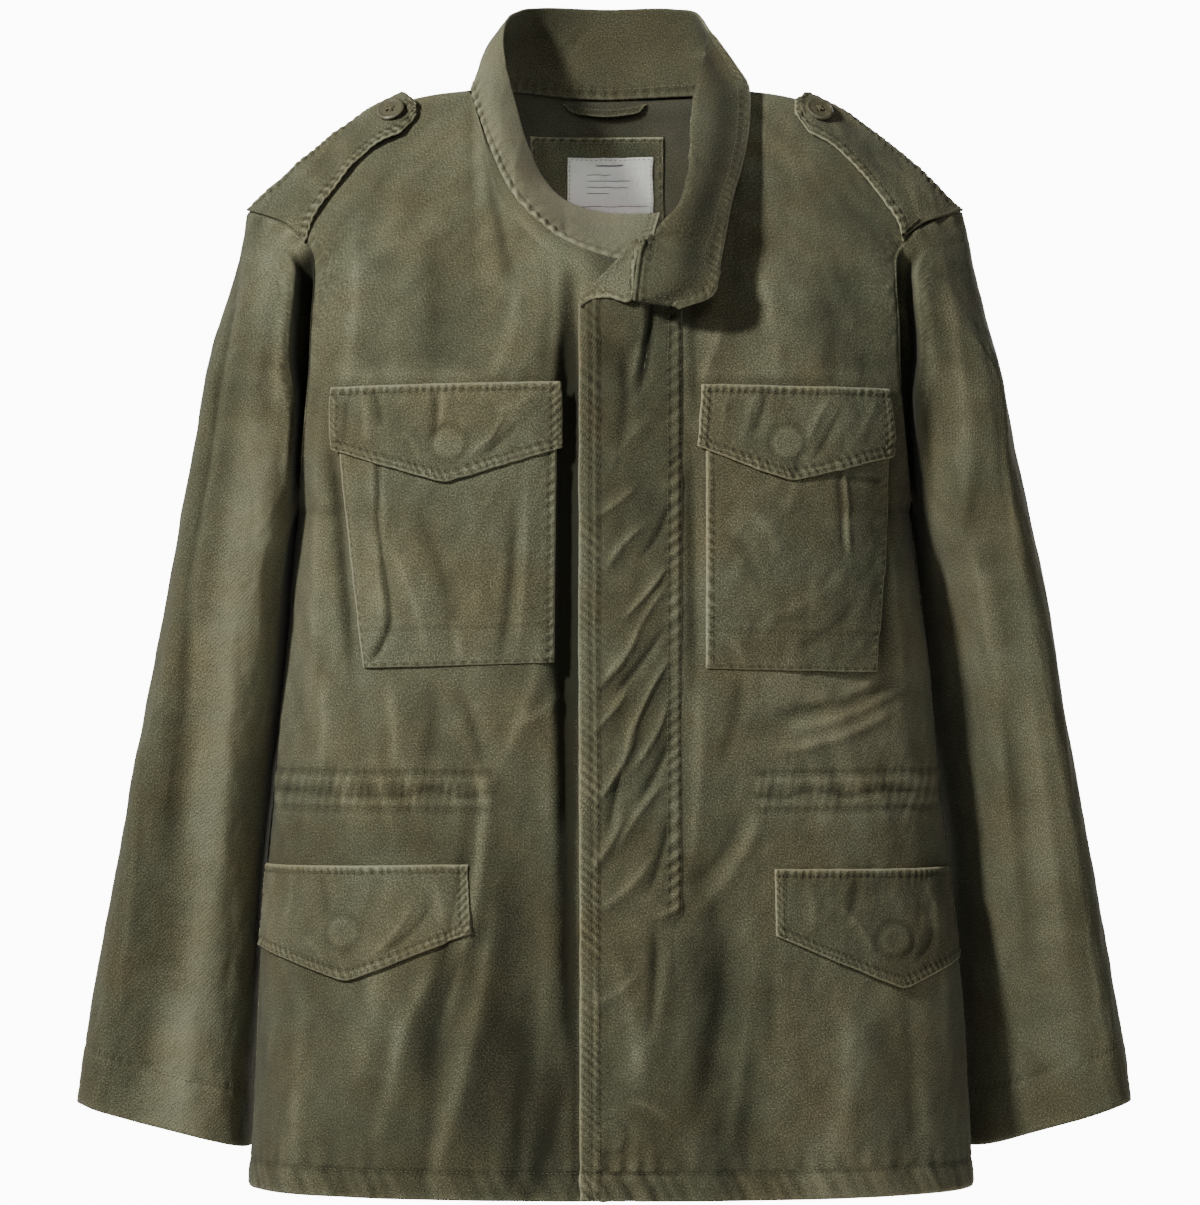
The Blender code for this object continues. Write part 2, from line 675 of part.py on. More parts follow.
def on_front(shape):
    """The shape's corners as (share, height) of the front instead of (x, z)."""
    return {
        name: np.stack(place_on_form(FRONT, *np.array(corners, float).T), -1)
        for name, corners in shape.items()
    }


def pocket_puff(pocket, share, height):
    """How far a pocket stands off: full in its middle and nothing at its edges."""
    (left, top), (right, _) = pocket["top"]
    bottom = pocket["bottom"][0][1]
    return POCKET_PUFF * bump((share - left) / (right - left)) * bump((top - height) / (top - bottom))


def add_chest_pockets():
    for side, shape in CHEST_POCKET.items():
        pocket = on_front(shape)
        s = np.linspace(0, 1, 8)
        t = np.linspace(0, 1, 9)[:, None, None]
        plan = between(*pocket["bottom"], s) * (1 - t) + between(*pocket["top"], s) * t
        share, height = plan[..., 0], plan[..., 1]
        lift = LAY_GAP + pocket_puff(pocket, share, height)
        add_cloth("chest_pocket_" + side, read_form(FRONT, share, height, lift), CLOTH, grow_out=True)


def flap_plan(flap, columns, rows):
    """(share, height) of a flap's grid, from its pointed lower edge up to its straight upper edge,
    and where each point lies across (0 to 1) and up (0 to 1) it."""
    left, point, right = flap["bottom"][0], flap["point"][0], flap["bottom"][1]
    middle = (point[0] - left[0]) / (right[0] - left[0])
    s = np.concatenate([np.linspace(0, middle, columns + 1)[:-1], np.linspace(middle, 1, columns + 1)])
    low = np.interp(s, [0, middle, 1], [left[1], point[1], right[1]])
    lower = np.stack([left[0] + (right[0] - left[0]) * s, low], -1)
    t = np.linspace(0, 1, rows + 1)[:, None, None]
    return lower * (1 - t) + between(*flap["top"], s) * t, s, t[..., 0]


def add_flaps():
    """Each flap is sewn along its top. A chest flap rises over its pocket just below that seam."""
    for kind, shapes in (("chest_flap_", CHEST_FLAP), ("lower_flap_", LOWER_FLAP)):
        for side, shape in shapes.items():
            plan, s, t = flap_plan(on_front(shape), 4, 5)
            share, height = plan[..., 0], plan[..., 1]
            lift = LAY_GAP + FLAP_PUFF * np.sin(np.pi * s) * (1 - t)
            if kind == "chest_flap_":
                over_pocket = (CLOTH + LAY_GAP) * smooth_step((1 - t) / 0.2)
                lift = lift + over_pocket + pocket_puff(on_front(CHEST_POCKET[side]), share, height)
            add_cloth(kind + side, read_form(FRONT, share, height, lift), DOUBLE_CLOTH, grow_out=True)


# ---------------------------------------------------------------- shoulder straps

def over_shoulder(side, share, forward):
    """Points of the shoulder at one share of the row, forward millimetres in front of the seam,
    measured over the cloth, and the outward normals there."""
    height = np.linspace(CHEST_Z, CHEST_Z + 100, 120)
    front, back = (read_form(form, np.full(120, side * share), height) for form in (FRONT, BACK))
    path = np.concatenate([back, front[::-1]])
    length = path_length(path) - path_length(back)[-1]
    at = read_path(path, length, forward)
    ahead = read_path(path, length, forward + 3) - read_path(path, length, forward - 3)
    return at, ahead


def strap_surface(side, along, forward, lift):
    """Points over the shoulder at (along from the armhole, forward of the seam), moved out."""
    seam = xyz(SHOULDER)[::-1]
    reach = path_length(seam)
    share = 1 - (1 - NECK_SHARE) * along / reach[-1]
    rows = [over_shoulder(side, a, f) for a, f in zip(share, forward)]
    point, ahead = (np.stack([row[k] for row in rows]) for k in (0, 1))
    outward = np.cross(ahead, np.gradient(point, axis=0)) * -side
    outward /= np.linalg.norm(outward, axis=-1, keepdims=True)
    return point + outward * np.asarray(lift)[..., None], outward


def strap_rows(columns):
    """Along and forward for each row of a strap, from the armhole to its pointed end."""
    tip = [STRAP_LENGTH - 0.5 * STRAP_TIP, STRAP_LENGTH]
    along = np.concatenate([np.linspace(1.5, STRAP_LENGTH - STRAP_TIP, columns), tip])
    width = np.interp(along, [0, STRAP_LENGTH - STRAP_TIP, STRAP_LENGTH], [*STRAP_WIDTH, 14.0])
    return along, width


def strap_lift(along):
    """How far a strap stands off the shoulder, which rises in two steps from its seam."""
    sewn, middle, buttoned = STRAP_LIFT
    return sewn + (middle - sewn) * smooth_step(along / 40) + (buttoned - middle) * smooth_step((along - 110) / 26)


def add_straps():
    for name, side in (("left", 1), ("right", -1)):
        along, width = strap_rows(11)
        across = np.array([-0.5, -0.42, -0.34, -0.25, 0.0, 0.25, 0.5])
        forward = STRAP_FORWARD + width[:, None] * across
        lift = strap_lift(along)[:, None] + 0 * forward
        grid, outward = strap_surface(side, along, forward, lift)
        add_cloth("epaulette_" + name, grid if side < 0 else grid[:, ::-1], DOUBLE_CLOTH, grow_out=True)
        add_button("epaulette_button_" + name, side)


def add_button(name, side):
    """A dished round button with four holes, turned from its profile, flat on the strap."""
    along = np.array([-1.0, 0.0, 1.0]) + STRAP_LENGTH - BUTTON_FROM_TIP
    forward = np.full((3, 1), STRAP_FORWARD)
    seat, outward = strap_surface(side, along, forward, strap_lift(along)[:, None] + DOUBLE_CLOTH + 0.6)
    normal = Vector(outward[1, 0])
    profile = ((0, 0), (0.72, 0), (1, 0.35), (1, 0.75), (0.88, 1), (0.68, 0.8), (0, 0.75))
    mesh = bmesh.new()
    points = [mesh.verts.new((r * BUTTON_RADIUS * MM, 0, h * BUTTON_THICKNESS * MM)) for r, h in profile]
    for a, b in zip(points, points[1:]):
        mesh.edges.new((a, b))
    data = bpy.data.meshes.new(name)
    mesh.to_mesh(data)
    mesh.free()
    button = add_piece(name, data, BUTTON_GREY, 0.5)
    turn = button.modifiers.new("Turned", "SCREW")
    turn.steps = turn.render_steps = 18
    turn.use_merge_vertices = True
    turn.merge_threshold = 0.00005
    turn.use_normal_calculate = True
    holes = button.modifiers.new("Holes", "BOOLEAN")
    holes.operation = "DIFFERENCE"
    holes.object = button_cutter(name + "_holes")
    pose = Matrix.Translation(Vector(seat[1, 0]) * MM) @ normal.to_track_quat("Z", "Y").to_matrix().to_4x4()
    button.matrix_world = pose
    holes.object.matrix_world = pose


def button_cutter(name):
    """Four thin cylinders, for the holes of a button."""
    mesh = bmesh.new()
    for k in range(4):
        angle = np.pi * (0.25 + 0.5 * k)
        shift = Vector((np.cos(angle), np.sin(angle), 0)) * BUTTON_HOLE_SPREAD * MM
        bmesh.ops.create_cone(
            mesh, cap_ends=True, segments=6, radius1=BUTTON_HOLE_RADIUS * MM,
            radius2=BUTTON_HOLE_RADIUS * MM, depth=4 * BUTTON_THICKNESS * MM,
            matrix=Matrix.Translation(shift),
        )
    data = bpy.data.meshes.new(name)
    mesh.to_mesh(data)
    mesh.free()
    cutter = bpy.data.objects.new(name, data)
    cutters.objects.link(cutter)
    cutter.hide_render = True
    cutter.display_type = "WIRE"
    return cutter


# ---------------------------------------------------------------- inside the neck

def add_neck_inside():
    """A hanging loop of tape, and a sewn patch with a white label on the inside of the back."""
    t = np.linspace(0, 1, 15)
    x, z, off = (through(np.linspace(0, 1, 7), LOOP[name], t) for name in ("x", "z", "off"))
    half = LOOP_WIDTH / 2
    share, height = place_on_form(BACK, np.stack([x, x, x]), np.stack([z - half, z, z + half]))
    add_cloth("hanger_loop", read_form(BACK, share, height, -(CLOTH + off)), TAPE, OLIVE_DARK, grow_out=True)
    depth = CLOTH + 2.0
    for name, shape, colour in (("label_patch", PATCH, OLIVE_DARK), ("neck_label", LABEL, LABEL_WHITE)):
        x, z = np.meshgrid(np.linspace(*shape["x"], 7), np.linspace(*shape["z"], 5))
        share, height = place_on_form(BACK, x, z)
        add_cloth(name, read_form(BACK, share, height, -depth), TAPE, colour, grow_out=True)
        depth += TAPE + LAY_GAP


# ---------------------------------------------------------------- the jacket

for item in list(bpy.data.objects):
    bpy.data.objects.remove(item)

jacket = bpy.data.collections.new("field_jacket")
cutters = bpy.data.collections.new("cutters")
for collection in (jacket, cutters):
    bpy.context.scene.collection.children.link(collection)

FRONT = make_form("front")
BACK = make_form("back")

add_fronts()
add_back()
add_sleeves()
add_collar()
add_placket()
add_chest_pockets()
add_flaps()
add_straps()
add_neck_inside()
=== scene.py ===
"""The looks of a washed olive field jacket, filled out as if worn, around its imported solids.

Tables and sizes are in millimetres unless a name ends in _M; every mesh is in metres. The jacket
faces -Y, X runs to the wearer's left, and the origin is between the two neck points.
"""
import bpy
import numpy as np
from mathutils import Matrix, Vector


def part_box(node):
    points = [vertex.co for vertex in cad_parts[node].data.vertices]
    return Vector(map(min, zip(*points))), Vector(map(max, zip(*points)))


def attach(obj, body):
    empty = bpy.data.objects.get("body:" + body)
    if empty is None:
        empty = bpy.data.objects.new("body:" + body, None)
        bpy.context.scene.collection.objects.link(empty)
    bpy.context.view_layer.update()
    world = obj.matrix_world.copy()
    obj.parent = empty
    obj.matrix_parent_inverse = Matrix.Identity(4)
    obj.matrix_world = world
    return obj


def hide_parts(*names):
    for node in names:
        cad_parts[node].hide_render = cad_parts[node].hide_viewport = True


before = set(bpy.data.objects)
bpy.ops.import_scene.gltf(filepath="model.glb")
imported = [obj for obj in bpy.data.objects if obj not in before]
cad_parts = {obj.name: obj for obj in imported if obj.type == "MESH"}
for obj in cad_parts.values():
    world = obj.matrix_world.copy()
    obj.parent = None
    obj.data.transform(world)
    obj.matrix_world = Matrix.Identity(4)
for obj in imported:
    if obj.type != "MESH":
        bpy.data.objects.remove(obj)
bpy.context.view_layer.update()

# ---------------------------------------------------------------------- camera, light and floor
# The photograph is level and taken from about four metres, straight in front of the jacket, with
# one large soft light high on the viewer's left and a weak one in front. One narrow beam picks out
# the neck, and three lights behind the jacket show its back and sides in the other views.

CAMERA_DISTANCE_M = 4.0
CAMERA_X_M, CAMERA_Z_M = -0.0035, -0.3629
VIEW_HEIGHT_M = 0.8507      # what the frame's long side takes in at the shoulder seams
SENSOR_MM = 36.0
FLOOR_Z_M = -1.45


def linear(hex_colour):
    """The linear colour of an sRGB hex value: each channel over 255, then the sRGB curve undone
    (c / 12.92 below 0.04045, else ((c + 0.055) / 1.055) to the power 2.4)."""
    c = np.array([int(hex_colour[i:i + 2], 16) for i in (1, 3, 5)]) / 255
    return np.where(c <= 0.04045, c / 12.92, ((c + 0.055) / 1.055) ** 2.4).tolist()


def add_node(tree, kind, settings=None, values=None, links=None):
    """A node of one kind with its settings, its inputs' values, and its links: an input's name or
    number to (another node, that node's output)."""
    node = tree.nodes.new(kind)
    for name, value in (settings or {}).items():
        setattr(node, name, value)
    for name, value in (values or {}).items():
        node.inputs[name].default_value = value
    for name, (source, output) in (links or {}).items():
        tree.links.new(source.outputs[output], node.inputs[name])
    return node


def plain_material(name, hex_colour, roughness):
    """A material of one colour and roughness."""
    material = bpy.data.materials.new(name)
    material.use_nodes = True
    shader = material.node_tree.nodes["Principled BSDF"]
    shader.inputs["Base Color"].default_value = (*linear(hex_colour), 1)
    shader.inputs["Roughness"].default_value = roughness
    return material


camera_data = bpy.data.cameras.new("camera")
camera_data.sensor_width = SENSOR_MM
camera_data.lens = SENSOR_MM * CAMERA_DISTANCE_M / VIEW_HEIGHT_M
camera = bpy.data.objects.new("camera", camera_data)
camera.location = (CAMERA_X_M, -CAMERA_DISTANCE_M, CAMERA_Z_M)
camera.rotation_euler = (np.pi / 2, 0, 0)
bpy.context.scene.collection.objects.link(camera)
bpy.context.scene.camera = camera

WARM_WHITE, WHITE = "#FEFDFA", "#FFFFFF"

# each light's place, what it points at, the side of its square in metres, watts, colour and spread
for name, place_m, aim_m, side_m, watts, colour, spread_deg in (
    ("key_softbox", (-1.7, -1.9, 1.05), (-0.03, -0.1, -0.3), 0.32, 60, WARM_WHITE, 160),
    ("front_fill", (0.3, -2.9, 1.0), (0.0, 0.0, -0.4), 0.8, 9, WHITE, 180),
    ("label_snoot", (0.12, -2.4, 1.0), (0.0, 0.06, -0.06), 0.05, 0.035, WHITE, 6),
    ("back_softbox", (1.5, 2.5, 0.5), (0.0, 0.1, -0.4), 1.0, 42, WARM_WHITE, 180),
    ("back_fill", (-2.2, 1.7, 0.3), (0.0, 0.1, -0.4), 1.0, 26, WHITE, 180),
    ("side_fill", (2.9, 0.5, 0.2), (0.2, 0.0, -0.4), 0.8, 7, WHITE, 180),
):
    data = bpy.data.lights.new(name, "AREA")
    data.shape = "RECTANGLE"
    data.size = data.size_y = side_m
    data.energy = watts
    data.color = linear(colour)
    data.spread = np.radians(spread_deg)
    light = bpy.data.objects.new(name, data)
    light.location = place_m
    light.rotation_euler = (Vector(aim_m) - Vector(place_m)).to_track_quat("-Z", "Y").to_euler()
    bpy.context.scene.collection.objects.link(light)

# the camera sees a white paper sweep behind the jacket, while the room gives little light of its own
world = bpy.data.worlds.new("white_studio")
world.use_nodes = True
tree = world.node_tree
seen = add_node(tree, "ShaderNodeLightPath")
brightness = add_node(
    tree, "ShaderNodeMapRange", None,
    {"From Min": 0.0, "From Max": 1.0, "To Min": 0.02, "To Max": 12.0}, {"Value": (seen, "Is Camera Ray")},
)
tree.links.new(brightness.outputs[0], tree.nodes["Background"].inputs["Strength"])
tree.nodes["Background"].inputs["Color"].default_value = (*linear("#FDFDFC"), 1)
bpy.context.scene.world = world

# a pale painted floor, matt, far below the hem
floor_data = bpy.data.meshes.new("studio_floor")
floor_corners = [(-4, -3, FLOOR_Z_M), (4, -3, FLOOR_Z_M), (4, 4, FLOOR_Z_M), (-4, 4, FLOOR_Z_M)]
floor_data.from_pydata(floor_corners, [], [(0, 1, 2, 3)])
floor_data.materials.append(plain_material("pale_floor_paint", "#E4E3E0", 0.7))
floor = bpy.data.objects.new("studio_floor", floor_data)
bpy.context.scene.collection.objects.link(floor)

# ---------------------------------------------------------------------- the cloth
# Mid-weight cotton twill, piece-dyed olive and washed until its raised edges have paled; that paleness is
# also partly a painted highlight, and its hollows carry painted shade. It is matt with a faint fuzz,
# and its fine diagonal rib only shows as a grain from a step away.

CLOTH = 1.3                 # thickness of one layer
DOUBLE_CLOTH = 2.0          # two layers sewn together, as in a flap, a strap or the collar
TWILL_PITCH = 2.3           # spacing of the diagonal ribs, drawn about three times as coarse as real
RIB_DIRECTION = (1.0, 0.8)  # across the ribs, in the plane of the cloth
RIB_RELIEF = 0.10           # height of the ribs beside that of the grain
NOISE_SEED = 5
RUB_AND_SHADE_REACH, RUB_AND_SHADE_LIMIT, RUB_AND_SHADE_SHARE = 5.0, 1.2, 0.24     # how what stands out is paler, partly rubbed and partly a painted highlight, with painted shade in hollows


def washed_twill(name, dark, middle, pale, brown):
    """Washed cotton twill: a matt weave whose diagonal rib is a sine across the piece's own UV map
    (in metres), mottled by wide and fine noise, and paler where its fade_and_shade attribute is high.
    That attribute carries real wear and also painted highlights and painted shade."""
    material = bpy.data.materials.new(name)
    material.use_nodes = True
    tree = material.node_tree
    shader = tree.nodes["Principled BSDF"]
    place = add_node(tree, "ShaderNodeTexCoord")
    fade_and_shade = add_node(tree, "ShaderNodeAttribute", {"attribute_name": "fade_and_shade"})
    # noise cells to the metre: clouds of 110 mm in the dye, patches of 32 mm and browner ones of
    # 53 mm, slubs of 8 mm, and a grain and flecks of 1.1 mm, about twice as coarse as real yarn
    cloud, patch, warm, slub, grain, fleck = (
        add_node(
            tree, "ShaderNodeTexNoise", None,
            {"Scale": scale, "Detail": detail, "Roughness": roughness}, {"Vector": (place, space)},
        )
        for scale, detail, roughness, space in (
            (9, 3, 0.6, "Object"), (31, 4, 0.6, "Object"), (19, 3, 0.6, "Object"),
            (120, 3, 0.55, "Object"), (900, 2, 0.6, "UV"), (950, 1, 0.5, "UV"),
        )
    )
    along = add_node(
        tree, "ShaderNodeVectorMath", {"operation": "DOT_PRODUCT"},
        {1: (*RIB_DIRECTION, 0.0)}, {0: (place, "UV")},
    )
    wander = add_node(
        tree, "ShaderNodeMath", {"operation": "MULTIPLY_ADD"}, {1: 2.4, 2: 0.0}, {0: (patch, "Fac")},
    )
    # one wave of the sine to each rib; 1.28 is the length of RIB_DIRECTION
    phase = add_node(
        tree, "ShaderNodeMath", {"operation": "MULTIPLY_ADD"},
        {1: 2 * np.pi / (TWILL_PITCH * 0.001 * 1.28)}, {0: (along, "Value"), 2: (wander, 0)},
    )
    ribs = add_node(tree, "ShaderNodeMath", {"operation": "SINE"}, None, {0: (phase, 0)})

    tone = add_node(
        tree, "ShaderNodeMath", {"operation": "MULTIPLY_ADD"}, {1: 0.20, 2: -0.17}, {0: (cloud, "Fac")},
    )
    for amount, source, output in (
        (0.16, patch, "Fac"), (0.95, grain, "Fac"), (0.012, ribs, 0), (0.42, fade_and_shade, "Fac"),
    ):
        tone = add_node(
            tree, "ShaderNodeMath", {"operation": "MULTIPLY_ADD"},
            {1: amount}, {0: (source, output), 2: (tone, 0)},
        )
    ramp = add_node(tree, "ShaderNodeValToRGB", None, None, {"Fac": (tone, 0)})
    stops = ramp.color_ramp.elements
    stops[0].position, stops[0].color = 0.18, (*linear(dark), 1)
    stops[1].position, stops[1].color = 0.86, (*linear(pale), 1)
    stops.new(0.49).color = (*linear(middle), 1)
    warmth = add_node(
        tree, "ShaderNodeMapRange", None,
        {"From Min": 0.36, "From Max": 0.66, "To Min": 0.0, "To Max": 0.85}, {"Value": (warm, "Fac")},
    )
    browner = add_node(
        tree, "ShaderNodeMix", {"data_type": "RGBA", "blend_type": "MULTIPLY"},
        {"Factor": 1.0, 7: (*linear(brown), 1)}, {6: (ramp, "Color")},
    )
    colour = add_node(
        tree, "ShaderNodeMix", {"data_type": "RGBA"}, None, {"Factor": (warmth, 0), 6: (ramp, "Color")},
    )
    tree.links.new(browner.outputs[2], colour.inputs[7])
    tree.links.new(colour.outputs[2], shader.inputs["Base Color"])

    relief = grain
    for amount, source, output in ((RIB_RELIEF, ribs, 0), (0.6, fleck, "Fac")):
        relief = add_node(
            tree, "ShaderNodeMath", {"operation": "MULTIPLY_ADD"},
            {1: amount}, {0: (source, output), 2: (relief, 0)},
        )
    weave = add_node(
        tree, "ShaderNodeBump", None, {"Strength": 0.5, "Distance": 0.0007}, {"Height": (relief, 0)},
    )
    crumple = add_node(
        tree, "ShaderNodeBump", None, {"Strength": 0.35, "Distance": 0.0022},
        {"Height": (slub, "Fac"), "Normal": (weave, 0)},
    )
    tree.links.new(crumple.outputs[0], shader.inputs["Normal"])
    shader.inputs["Roughness"].default_value = 0.92
    shader.inputs["Specular IOR Level"].default_value = 0.15
    shader.inputs["Sheen Weight"].default_value = 0.10
    shader.inputs["Sheen Roughness"].default_value = 0.5
    return material


olive_twill = washed_twill("washed_olive_cotton_twill", "#303125", "#61634E", "#A9AA8D", "#FFF0E5")
# the inner face is a darker copy of the twill: it has hardly rubbed, so it keeps the dye's full depth,
# and it is also painted shade for the inside of the jacket, which little light reaches
unrubbed_and_shaded_twill = washed_twill("unrubbed_and_shaded_inner_face_of_the_twill", "#33342A", "#47483B", "#6E6D5B", "#FFF4EA")


def table(columns, *rows):
    """Rows of numbers under named columns."""
    return dict(zip(columns.split(), np.array(rows, float).T))


def crease_table(*rows):
    """Creases from (u0, v0) to (u1, v1): their half width, their height, how far they bow aside,
    and how much steeper their right flank is."""
    return table("u0 v0 u1 v1 width high bow skew", *rows)


def xyz(columns, prefix=""):
    return np.stack([columns[prefix + axis] for axis in "xyz"], -1)


def smooth_step(t):
    """0 up to t = 0, then 3 t^2 - 2 t^3, and 1 from t = 1."""
    t = np.clip(t, 0, 1)
    return t * t * (3 - 2 * t)


def bell(distance, width):
    """1 at no distance, falling to 1/e at one width away."""
    return np.exp(-((distance / width) ** 2))


def unit(vectors):
    return vectors / np.maximum(np.linalg.norm(vectors, axis=-1, keepdims=True), 1e-9)


def hermite(start, end, leave, arrive, t):
    """The cubic from start to end that leaves and arrives along the two given vectors."""
    return (
        (1 + 2 * t) * (1 - t) ** 2 * start
        + t * (1 - t) ** 2 * leave
        + t * t * (3 - 2 * t) * end
        + t * t * (t - 1) * arrive
    )


def through(knots, values, t):
    """The smooth curve that passes through values at knots, read at t. Each stretch is a cubic
    whose end slopes are those of the neighbouring values."""
    knots, values, t = (np.asarray(a, float) for a in (knots, values, t))
    slopes = np.gradient(values, knots, axis=0)
    i = np.clip(np.searchsorted(knots, t, side="right") - 1, 0, len(knots) - 2)
    width = knots[i + 1] - knots[i]
    f = (t - knots[i]) / width
    shape = t.shape + (1,) * (values.ndim - 1)
    f, width = f.reshape(shape), width.reshape(shape)
    return hermite(values[i], values[i + 1], width * slopes[i], width * slopes[i + 1], f)


def path_length(points):
    steps = np.linalg.norm(np.diff(points, axis=0), axis=1)
    return np.concatenate([[0], np.cumsum(steps)])


def share_of_path(points):
    length = path_length(points)
    return length / length[-1]


def read_path(points, length, at):
    return np.stack([np.interp(at, length, points[:, k]) for k in range(3)], -1)


def noise_1d(at, seed):
    """Smooth noise from -1 to 1 along a line: random values one apart, joined by smooth steps."""
    values = np.random.default_rng(NOISE_SEED + seed).uniform(-1, 1, 4096)
    whole = np.floor(at).astype(int)
    f = smooth_step(at - whole)
    return values[whole % 4096] * (1 - f) + values[(whole + 1) % 4096] * f


def noise_2d(u, v, seed):
    """The same over a surface: random values on a square lattice, blended from the nearest four."""
    values = np.random.default_rng(NOISE_SEED + seed).uniform(-1, 1, (256, 256))
    i, j = np.floor(v).astype(int), np.floor(u).astype(int)
    f, g = smooth_step(v - i), smooth_step(u - j)
    i0, j0, i1, j1 = i % 256, j % 256, (i + 1) % 256, (j + 1) % 256
    low = values[i0, j0] * (1 - g) + values[i0, j1] * g
    high = values[i1, j0] * (1 - g) + values[i1, j1] * g
    return low * (1 - f) + high * f


def gather(run, pitch, seed):
    """An uneven wave along a seam: a sine whose spacing and height wander."""
    wandering = run / pitch + 0.5 * noise_1d(run / (3.3 * pitch), seed)
    return np.sin(2 * np.pi * wandering) * (0.62 + 0.38 * noise_1d(run / (2.1 * pitch), seed + 1))


def sewn_edge(distance, run, seed, rows=(2.0, 8.0), pitch=6.0, depth=0.85, slant=0.7):
    """Height and fade beside a turned and stitched edge, at a distance in from it. Between the rows
    of stitches the folded allowance puffs up in slanted gathers, each row lies in a groove where
    the dye has stayed, and the rim and the gathers' crowns have paled."""
    inside = distance > -0.5
    last = rows[-1]
    wave = gather(run + slant * distance, pitch, seed)
    band = smooth_step((distance + 0.5) / 2) * smooth_step((last + 2.0 - distance) / 3.0)
    height = band * (0.5 + 0.45 * wave) + 0.4 * wave * bell(distance - last - 2.0, 3.0)
    fade_and_shade = 1.1 * bell(distance, 1.0) + band * (0.03 + 0.26 * wave)
    for row in rows:
        height = height - 0.8 * bell(distance - row, 1.2) * (1 - 0.5 * wave)
        fade_and_shade = fade_and_shade - 0.45 * bell(distance - row, 0.8) * (0.7 - 0.3 * wave)
    height = depth * height - 0.9 * smooth_step((1.6 - distance) / 1.6)
    return height * inside, fade_and_shade * inside


def beside_line(u0, v0, u1, v1, u, v):
    """The share along a line, and the distance beside it, of points (u, v)."""
    run_u, run_v = u1 - u0, v1 - v0
    length = np.hypot(run_u, run_v)
    along = ((u - u0) * run_u + (v - v0) * run_v) / length**2
    return along, ((u - u0) * run_v - (v - v0) * run_u) / length * np.copysign(1, run_v)


def creases(lines, u, v):
    """Summed height of soft creases at (u, v). Each has a narrow rounded crest and falls away on
    both sides of its bowed line as exp(-1.7 hypot(distance / width, 0.3)), and fades at its ends."""
    height = np.zeros(np.shape(u))
    for *line, width, high, bow, skew in zip(*lines.values()):
        along, aside = beside_line(*line, u, v)
        aside = aside - bow * 4 * along * (1 - along)
        width_here = width * (1 - skew * np.tanh(aside / width))
        ends = smooth_step((along + 0.2) / 0.45) * smooth_step((1.2 - along) / 0.45)
        height += high * np.exp(0.51 - 1.7 * np.hypot(aside / width_here, 0.3)) * ends
    return height


def rumple(u, v, seed, amount=1.5):
    """The slight unevenness of washed cloth in a worn shape: wide soft swells that run mostly
    downwards, and smaller ones that run every way."""
    return amount * (
        1.1 * noise_2d(u / 38, v / 110, seed)
        + 0.40 * noise_2d((u + 0.4 * v) / 17, v / 40, seed + 1)
        + 0.22 * noise_2d((u - 0.3 * v) / 8, v / 14, seed + 2)
        + 0.10 * noise_2d(u / 4.2, v / 5.5, seed + 3)
    )


def grid_normals(grid):
    """Unit normals of a grid whose rows run upwards and whose columns run to the right."""
    return unit(np.cross(np.gradient(grid, axis=1), np.gradient(grid, axis=0)))


def edge_runs(grid):
    """Lengths over a grid to each of its points from the left, right, lower and upper edges."""
    across = np.linalg.norm(np.diff(grid, axis=1), axis=-1)
    up = np.linalg.norm(np.diff(grid, axis=0), axis=-1)
    left = np.pad(np.cumsum(across, 1), ((0, 0), (1, 0)))
    low = np.pad(np.cumsum(up, 0), ((1, 0), (0, 0)))
    return left, left[:, -1:] - left, low, low[-1:] - low


def cloth_map(grid):
    """Length in metres across and up the cloth at each point of a grid, for its UV map."""
    u, _, v, _ = edge_runs(grid)
    return np.stack([u - u.mean(1, keepdims=True), v], -1) * 0.001


def blurred(values, reach, axis, mode="edge"):
    """The mean of a grid over reach points to either side along one axis."""
    pad = [(0, 0)] * values.ndim
    pad[axis] = (reach + 1, reach)
    total = np.cumsum(np.pad(values, pad, mode=mode), axis)
    window = 2 * reach + 1
    count = total.shape[axis] - window
    ahead, behind = (np.take(total, range(start, start + count), axis) for start in (window, 0))
    return (ahead - behind) / window


def standing_out(grid, reach, mode="edge"):
    """How far each point stands out of the cloth within reach: what does has rubbed pale in the wash and
    is also given a painted highlight, and hollows have kept their dye and are also given painted shade."""
    spacing = [max(np.linalg.norm(np.diff(grid, axis=axis), axis=-1).mean(), 0.1) for axis in (0, 1)]
    around = grid
    for _ in range(2):
        around = blurred(around, max(int(round(reach / spacing[0])), 1), 0)
        around = blurred(around, max(int(round(reach / spacing[1])), 1), 1, mode)
    return ((grid - around) * grid_normals(grid)).sum(-1)


def add_mesh(name, points, faces, material):
    """A smooth mesh on the root body, from points in millimetres and the faces' corners."""
    mesh = bpy.data.meshes.new(name)
    mesh.from_pydata((points.reshape(-1, 3) * 0.001).tolist(), [], faces)
    mesh.shade_smooth()
    mesh.materials.append(material)
    piece = bpy.data.objects.new(name, mesh)
    bpy.context.scene.collection.objects.link(piece)
    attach(piece, "root")
    return piece


